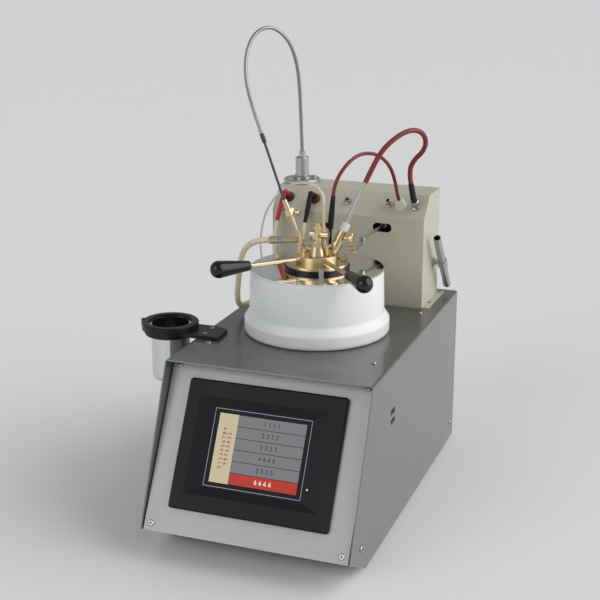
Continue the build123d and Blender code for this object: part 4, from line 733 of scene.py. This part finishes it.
class FPT_OT_stage(bpy.types.Operator):
    """Camera, daylight and fill light, pale floor and plain surroundings"""

    bl_idname = "fpt.stage"
    bl_label = "Stage"

    def execute(self, context):
        _, _, stage = settings(context)
        scene = context.scene
        scene.view_settings.view_transform = "Standard"
        lens = bpy.data.cameras.new("Camera")
        lens.sensor_width = 36.0
        lens.lens = stage.focal_length
        lens.clip_start, lens.clip_end = 0.05, 30.0
        camera = bpy.data.objects.new("Camera", lens)
        camera.location = CAMERA_PLACE
        camera.rotation_euler = (math.radians(90.0 - CAMERA_DOWN), 0.0, math.radians(CAMERA_TURN))
        context.collection.objects.link(camera)
        scene.camera = camera
        self.make_floor(context)
        self.make_world(context, stage)
        self.add_sun(context, "Daylight", stage.sun_strength, 70, (1.6, 0.3, 1.1))
        self.add_sun(context, "Fill", stage.fill_strength, 40, (-1.3, -2.4, 1.5))
        return {"FINISHED"}

    def add_sun(self, context, name, strength, spread, place):
        """Soft distant light from a place, with its spread in degrees."""
        data = bpy.data.lights.new(name, "SUN")
        data.energy = strength
        data.angle = math.radians(spread)
        obj = bpy.data.objects.new(name, data)
        obj.location = place
        obj.rotation_euler = (LAMP_TARGET - Vector(place)).to_track_quat("-Z", "Y").to_euler()
        context.collection.objects.link(obj)

    def make_floor(self, context):
        bm = bmesh.new()
        add_block(bm, Matrix.Translation(FLOOR_MIDDLE), FLOOR_SIZE)
        mesh = bpy.data.meshes.new("Floor")
        bm.to_mesh(mesh)
        bm.free()
        floor = bpy.data.objects.new("Floor", mesh)
        context.collection.objects.link(floor)
        material, tree, shader = new_material("Pale floor", Roughness=0.62)
        spot = noise(tree, object_place(tree), 130.0, detail=5.0, roughness=0.7)
        pale = mix_colour(tree, spot, (0.85, 0.85, 0.84), (0.91, 0.91, 0.90))
        tree.links.new(pale, shader.inputs["Base Color"])
        mesh.materials.append(material)

    def make_world(self, context, stage):
        """Even light, with one colour to the camera and a darker one in polished metal."""
        world = bpy.data.worlds.new("Studio")
        context.scene.world = world
        world.use_nodes = True
        tree = world.node_tree
        background = tree.nodes["Background"]
        path = tree.nodes.new("ShaderNodeLightPath").outputs
        mirrored = path["Is Glossy Ray"]
        seen = math_node(tree, "MAXIMUM", path["Is Camera Ray"], path["Is Transmission Ray"])
        plain = mix_colour(tree, mirrored, SKY_LIGHT, SKY_MIRRORED)
        tree.links.new(mix_colour(tree, seen, plain, SKY_SEEN), background.inputs["Color"])
        shown = math_node(tree, "MAXIMUM", seen, mirrored)
        extra = times(tree, shown, 1.0 - stage.world_strength)
        strength = plus(tree, extra, stage.world_strength)
        tree.links.new(strength, background.inputs["Strength"])


class FPT_OT_finishes(bpy.types.Operator):
    """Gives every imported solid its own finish"""

    bl_idname = "fpt.finishes"
    bl_label = "Finishes"

    def execute(self, context):
        make_materials(context)
        for name, key in NODE_FINISH.items():
            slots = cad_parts[name].data.materials
            slots.clear()
            slots.append(MATERIALS[key])
        return {"FINISHED"}


class FPT_OT_cords(bpy.types.Operator):
    """Flexible drive, sensor cables, gas tube, hose and heater leads"""

    bl_idname = "fpt.cords"
    bl_label = "Cords and hoses"

    def execute(self, context):
        for name, facts in CORDS.items():
            make_cord(name, facts)
        return {"FINISHED"}


# Middle of the lit picture on the panel: across, up the slope and out from it.
PICTURE_X, PICTURE_UP, PICTURE_OUT = -0.00025, 0.1139, 0.0032
LINE_WIDTH, LINE_HEIGHT, LINE_THICK, LINE_DEEP = 0.1275, 0.0965, 0.0008, 0.0005
# The side column takes this share of the picture's width, and the rows share the rest.
SIDE_SHARE = 0.226
ROWS = 6
SIDE_GAP, ROW_GAP = 0.0006, 0.0007
PATCH_DEEP = 0.0003
# Heights of the digits: a share of a row's height, and metres in the column.
ROW_DIGITS, SIDE_DIGITS = 0.56, 0.0068
LAMP_X, LAMP_UP, LAMP_OUT, LAMP_RADIUS = 0.0705, 0.0795, 0.0046, 0.0014


class FPT_OT_screen(bpy.types.Operator):
    """Lit picture, its silver line and the status lamp"""

    bl_idname = "fpt.screen"
    bl_label = "Screen"

    def execute(self, context):
        _, screen, _ = settings(context)
        width, height = screen.screen_width, screen.screen_height
        face = panel_matrix(PICTURE_X, PICTURE_UP, PICTURE_OUT)
        self.silver_line(face)
        side = width * SIDE_SHARE
        self.patch(face, "side_column", (-width / 2 + side / 2, 0.0), (side - SIDE_GAP, height),
                   "side")
        step = height / ROWS
        for row in range(1, ROWS + 1):
            last = row == ROWS
            at = (side / 2, height / 2 - step * (row - 0.5))
            self.patch(face, f"menu_row_{row}", at, (width - side, step - ROW_GAP),
                       "last_row" if last else "row")
            self.digits(face, " ".join(str(row) * 4), at, step * ROW_DIGITS,
                        "pale_ink" if last else "ink")
        for text, share in (("0 1 2 3 4 5 6 7 8 9", 0.42), ("9 8 7 6 5 4 3 2", 0.68)):
            at = (-width / 2 + side * share, 0.0)
            self.digits(face, text, at, SIDE_DIGITS, "red_ink", turn=90)
        self.status_lamp()
        return {"FINISHED"}

    def patch(self, face, name, at, size, key):
        bm = bmesh.new()
        add_block(bm, face, (*size, PATCH_DEEP), at=(*at, 0.0))
        mesh_object(name, bm, key, "cabinet", smooth=False)

    def digits(self, face, text, at, size, key, turn=0):
        """Plain digits on the picture, turned by some degrees."""
        font = bpy.data.curves.new("digits_" + text[0] + key, "FONT")
        font.body = text
        font.size = size
        font.extrude = 0.00008
        font.align_x, font.align_y = "CENTER", "CENTER"
        font.materials.append(MATERIALS[key])
        obj = bpy.data.objects.new(f"screen_number_{text[0]}_{turn}", font)
        bpy.context.collection.objects.link(obj)
        spin = Matrix.Rotation(math.radians(turn), 4, "Z")
        obj.matrix_world = face @ Matrix.Translation((*at, PATCH_DEEP)) @ spin
        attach(obj, "cabinet")

    def silver_line(self, face):
        bm = bmesh.new()
        for sign in (-1, 1):
            for size, at in (
                    ((LINE_WIDTH + LINE_THICK, LINE_THICK), (0.0, sign * LINE_HEIGHT / 2)),
                    ((LINE_THICK, LINE_HEIGHT + LINE_THICK), (sign * LINE_WIDTH / 2, 0.0))):
                add_block(bm, face, (*size, LINE_DEEP), round_by=0.0001, at=(*at, 0.0))
        mesh_object("silver_line", bm, "silver_line", "cabinet", smooth=False)

    def status_lamp(self):
        matrix = panel_matrix(LAMP_X, LAMP_UP, LAMP_OUT)
        bm = bmesh.new()
        bmesh.ops.create_uvsphere(bm, u_segments=20, v_segments=12, radius=LAMP_RADIUS,
                                  matrix=matrix)
        mesh_object("status_lamp", bm, "led", "cabinet")


# Screw heads: tops of those on the cover, its sides, the panel and the cup's bracket.
COVER_HEADS, SIDE_HEADS, PANEL_HEADS, BRACKET_HEADS = 0.2318, 0.1393, 0.0018, 0.2368
PANEL_INSET = 0.009
# Size of the dark crosses painted on the screw heads as the shade in their slots.
RECESS_LONG, RECESS_WIDE, RECESS_DEEP = 0.0040, 0.0009, 0.0003
# Data ports: where their tongues stand, the ports' ends along y and their lows and highs.
TONGUE_X, PORT_NEAR, PORT_FAR = 0.1345, -0.095, -0.0765
PORT_LEVELS = ((0.1625, 0.1695), (0.150, 0.1565))
# Gas hose's end on the lid: its height, its direction in degrees and its bore's radius.
HOSE_LEVEL, HOSE_TURN, HOSE_BORE = 0.3535, 200.3, 0.0041


class FPT_OT_trim(bpy.types.Operator):
    """Dark crosses painted on the screw heads as the shade in their slots, rings of the binding
    posts, tongues of the ports, and the hose's end
    """

    bl_idname = "fpt.trim"
    bl_label = "Small trim"

    def execute(self, context):
        self.screw_recesses()
        self.post_rings()
        self.port_tongues()
        self.hose_end_rings()
        return {"FINISHED"}

    def screw_spots(self):
        """Middle of each screw head's top, and the way it looks."""
        up = (0, 0, 1)
        spots = [((x, y, COVER_HEADS), up) for x in (-0.113, 0.113) for y in (-0.093, 0.128)]
        for side in (-1, 1):
            spots += [((side * SIDE_HEADS, y, z), (side, 0, 0))
                      for y, z in ((-0.213, 0.0365), (0.2355, 0.0257))]
        reach = PANEL_HALF_WIDTH - PANEL_INSET
        for x in (-reach, reach):
            spots += [(panel_point(x, rise, PANEL_HEADS), PANEL_OUT)
                      for rise in (PANEL_INSET, PANEL_LENGTH - PANEL_INSET)]
        return spots + [((-0.127, y, BRACKET_HEADS), up) for y in (-0.050, -0.073)]

    # Thin near-black crosses on each head stand for the shade inside its slot.
    def screw_recesses(self):
        bm = bmesh.new()
        for spot, out in self.screw_spots():
            across = (0, 1, 0) if abs(out[0]) > 0.5 else (1, 0, 0)
            matrix = basis(spot, across, out)
            add_block(bm, matrix, (RECESS_LONG, RECESS_WIDE, RECESS_DEEP))
            add_block(bm, matrix, (RECESS_WIDE, RECESS_LONG, RECESS_DEEP))
        mesh_object("screw_recesses", bm, "recess", "cabinet", smooth=False)

    def post_rings(self):
        outline = [(0.0076, 0.0), (0.0081, 0.0004), (0.0081, 0.0020), (0.0076, 0.0025)]
        for name, x, key, slot_name in (("red_post", -0.096, "black", "black_plastic"),
                                        ("black_post", -0.056, "red_rubber", "red_rubber")):
            foot = basis(SLANT_MIDDLE + Vector((x, 0, 0)), (1, 0, 0), SLANT_OUT)
            bm = bmesh.new()
            add_ring(bm, foot, outline)
            mesh_object(name + "_ring", bm, key, "cabinet")

    def port_tongues(self):
        middle = (PORT_NEAR + PORT_FAR) / 2
        bm = bmesh.new()
        for low, high in PORT_LEVELS:
            matrix = basis((TONGUE_X, middle, (low + high) / 2 - 0.0006), (0, 1, 0), (1, 0, 0))
            add_block(bm, matrix, (PORT_FAR - PORT_NEAR - 0.006, 0.0014, 0.006), 0.0002)
        mesh_object("port_tongues", bm, "black", "cabinet", smooth=False)

    def hose_end_rings(self):
        """Steel sleeve and brass nut where the gas hose meets the burner's stem."""
        turn = math.radians(HOSE_TURN)
        run = Vector((math.cos(turn), math.sin(turn), 0.0))
        middle = LID_AXIS + Vector((0.0, 0.0, HOSE_LEVEL))
        chamfer = 0.0004
        for name, start, end, radius, key in (("hose_sleeve", 0.0445, 0.0535, 0.0047, "steel"),
                                              ("hose_nut", 0.0545, 0.0635, 0.0054, "brass")):
            length = end - start
            bm = bmesh.new()
            add_ring(bm, basis(middle + run * start, (0, 0, 1), run), [
                (HOSE_BORE, 0.0), (radius - chamfer, 0.0), (radius, chamfer),
                (radius, length - chamfer), (radius - chamfer, length), (HOSE_BORE, length)])
            mesh_object(name, bm, key, "lid")


class FPT_PT_panel(bpy.types.Panel):
    """Lists the tester's pieces and settings"""

    bl_label = "Flash Point Tester"
    bl_idname = "FPT_PT_panel"
    bl_space_type = "VIEW_3D"
    bl_region_type = "UI"
    bl_category = "Tester"

    def draw(self, context):
        layout = self.layout
        for operator in OPERATORS:
            layout.operator(operator.bl_idname)
        for group in settings(context):
            box = layout.box()
            for name in group.__annotations__:
                box.prop(group, name)


OPERATORS = (FPT_OT_stage, FPT_OT_finishes, FPT_OT_cords, FPT_OT_screen, FPT_OT_trim)
CLASSES = (FPT_FinishSettings, FPT_ScreenSettings, FPT_StageSettings, *OPERATORS, FPT_PT_panel)


def register():
    for cls in CLASSES:
        bpy.utils.register_class(cls)
    bpy.types.Scene.fpt_finish = bpy.props.PointerProperty(type=FPT_FinishSettings)
    bpy.types.Scene.fpt_screen = bpy.props.PointerProperty(type=FPT_ScreenSettings)
    bpy.types.Scene.fpt_stage = bpy.props.PointerProperty(type=FPT_StageSettings)


def unregister():
    del bpy.types.Scene.fpt_finish, bpy.types.Scene.fpt_screen, bpy.types.Scene.fpt_stage
    for cls in reversed(CLASSES):
        bpy.utils.unregister_class(cls)


def main():
    register()
    bpy.ops.fpt.stage()
    bpy.ops.fpt.finishes()
    bpy.ops.fpt.cords()
    bpy.ops.fpt.screen()
    bpy.ops.fpt.trim()


if __name__ == "__main__":
    main()
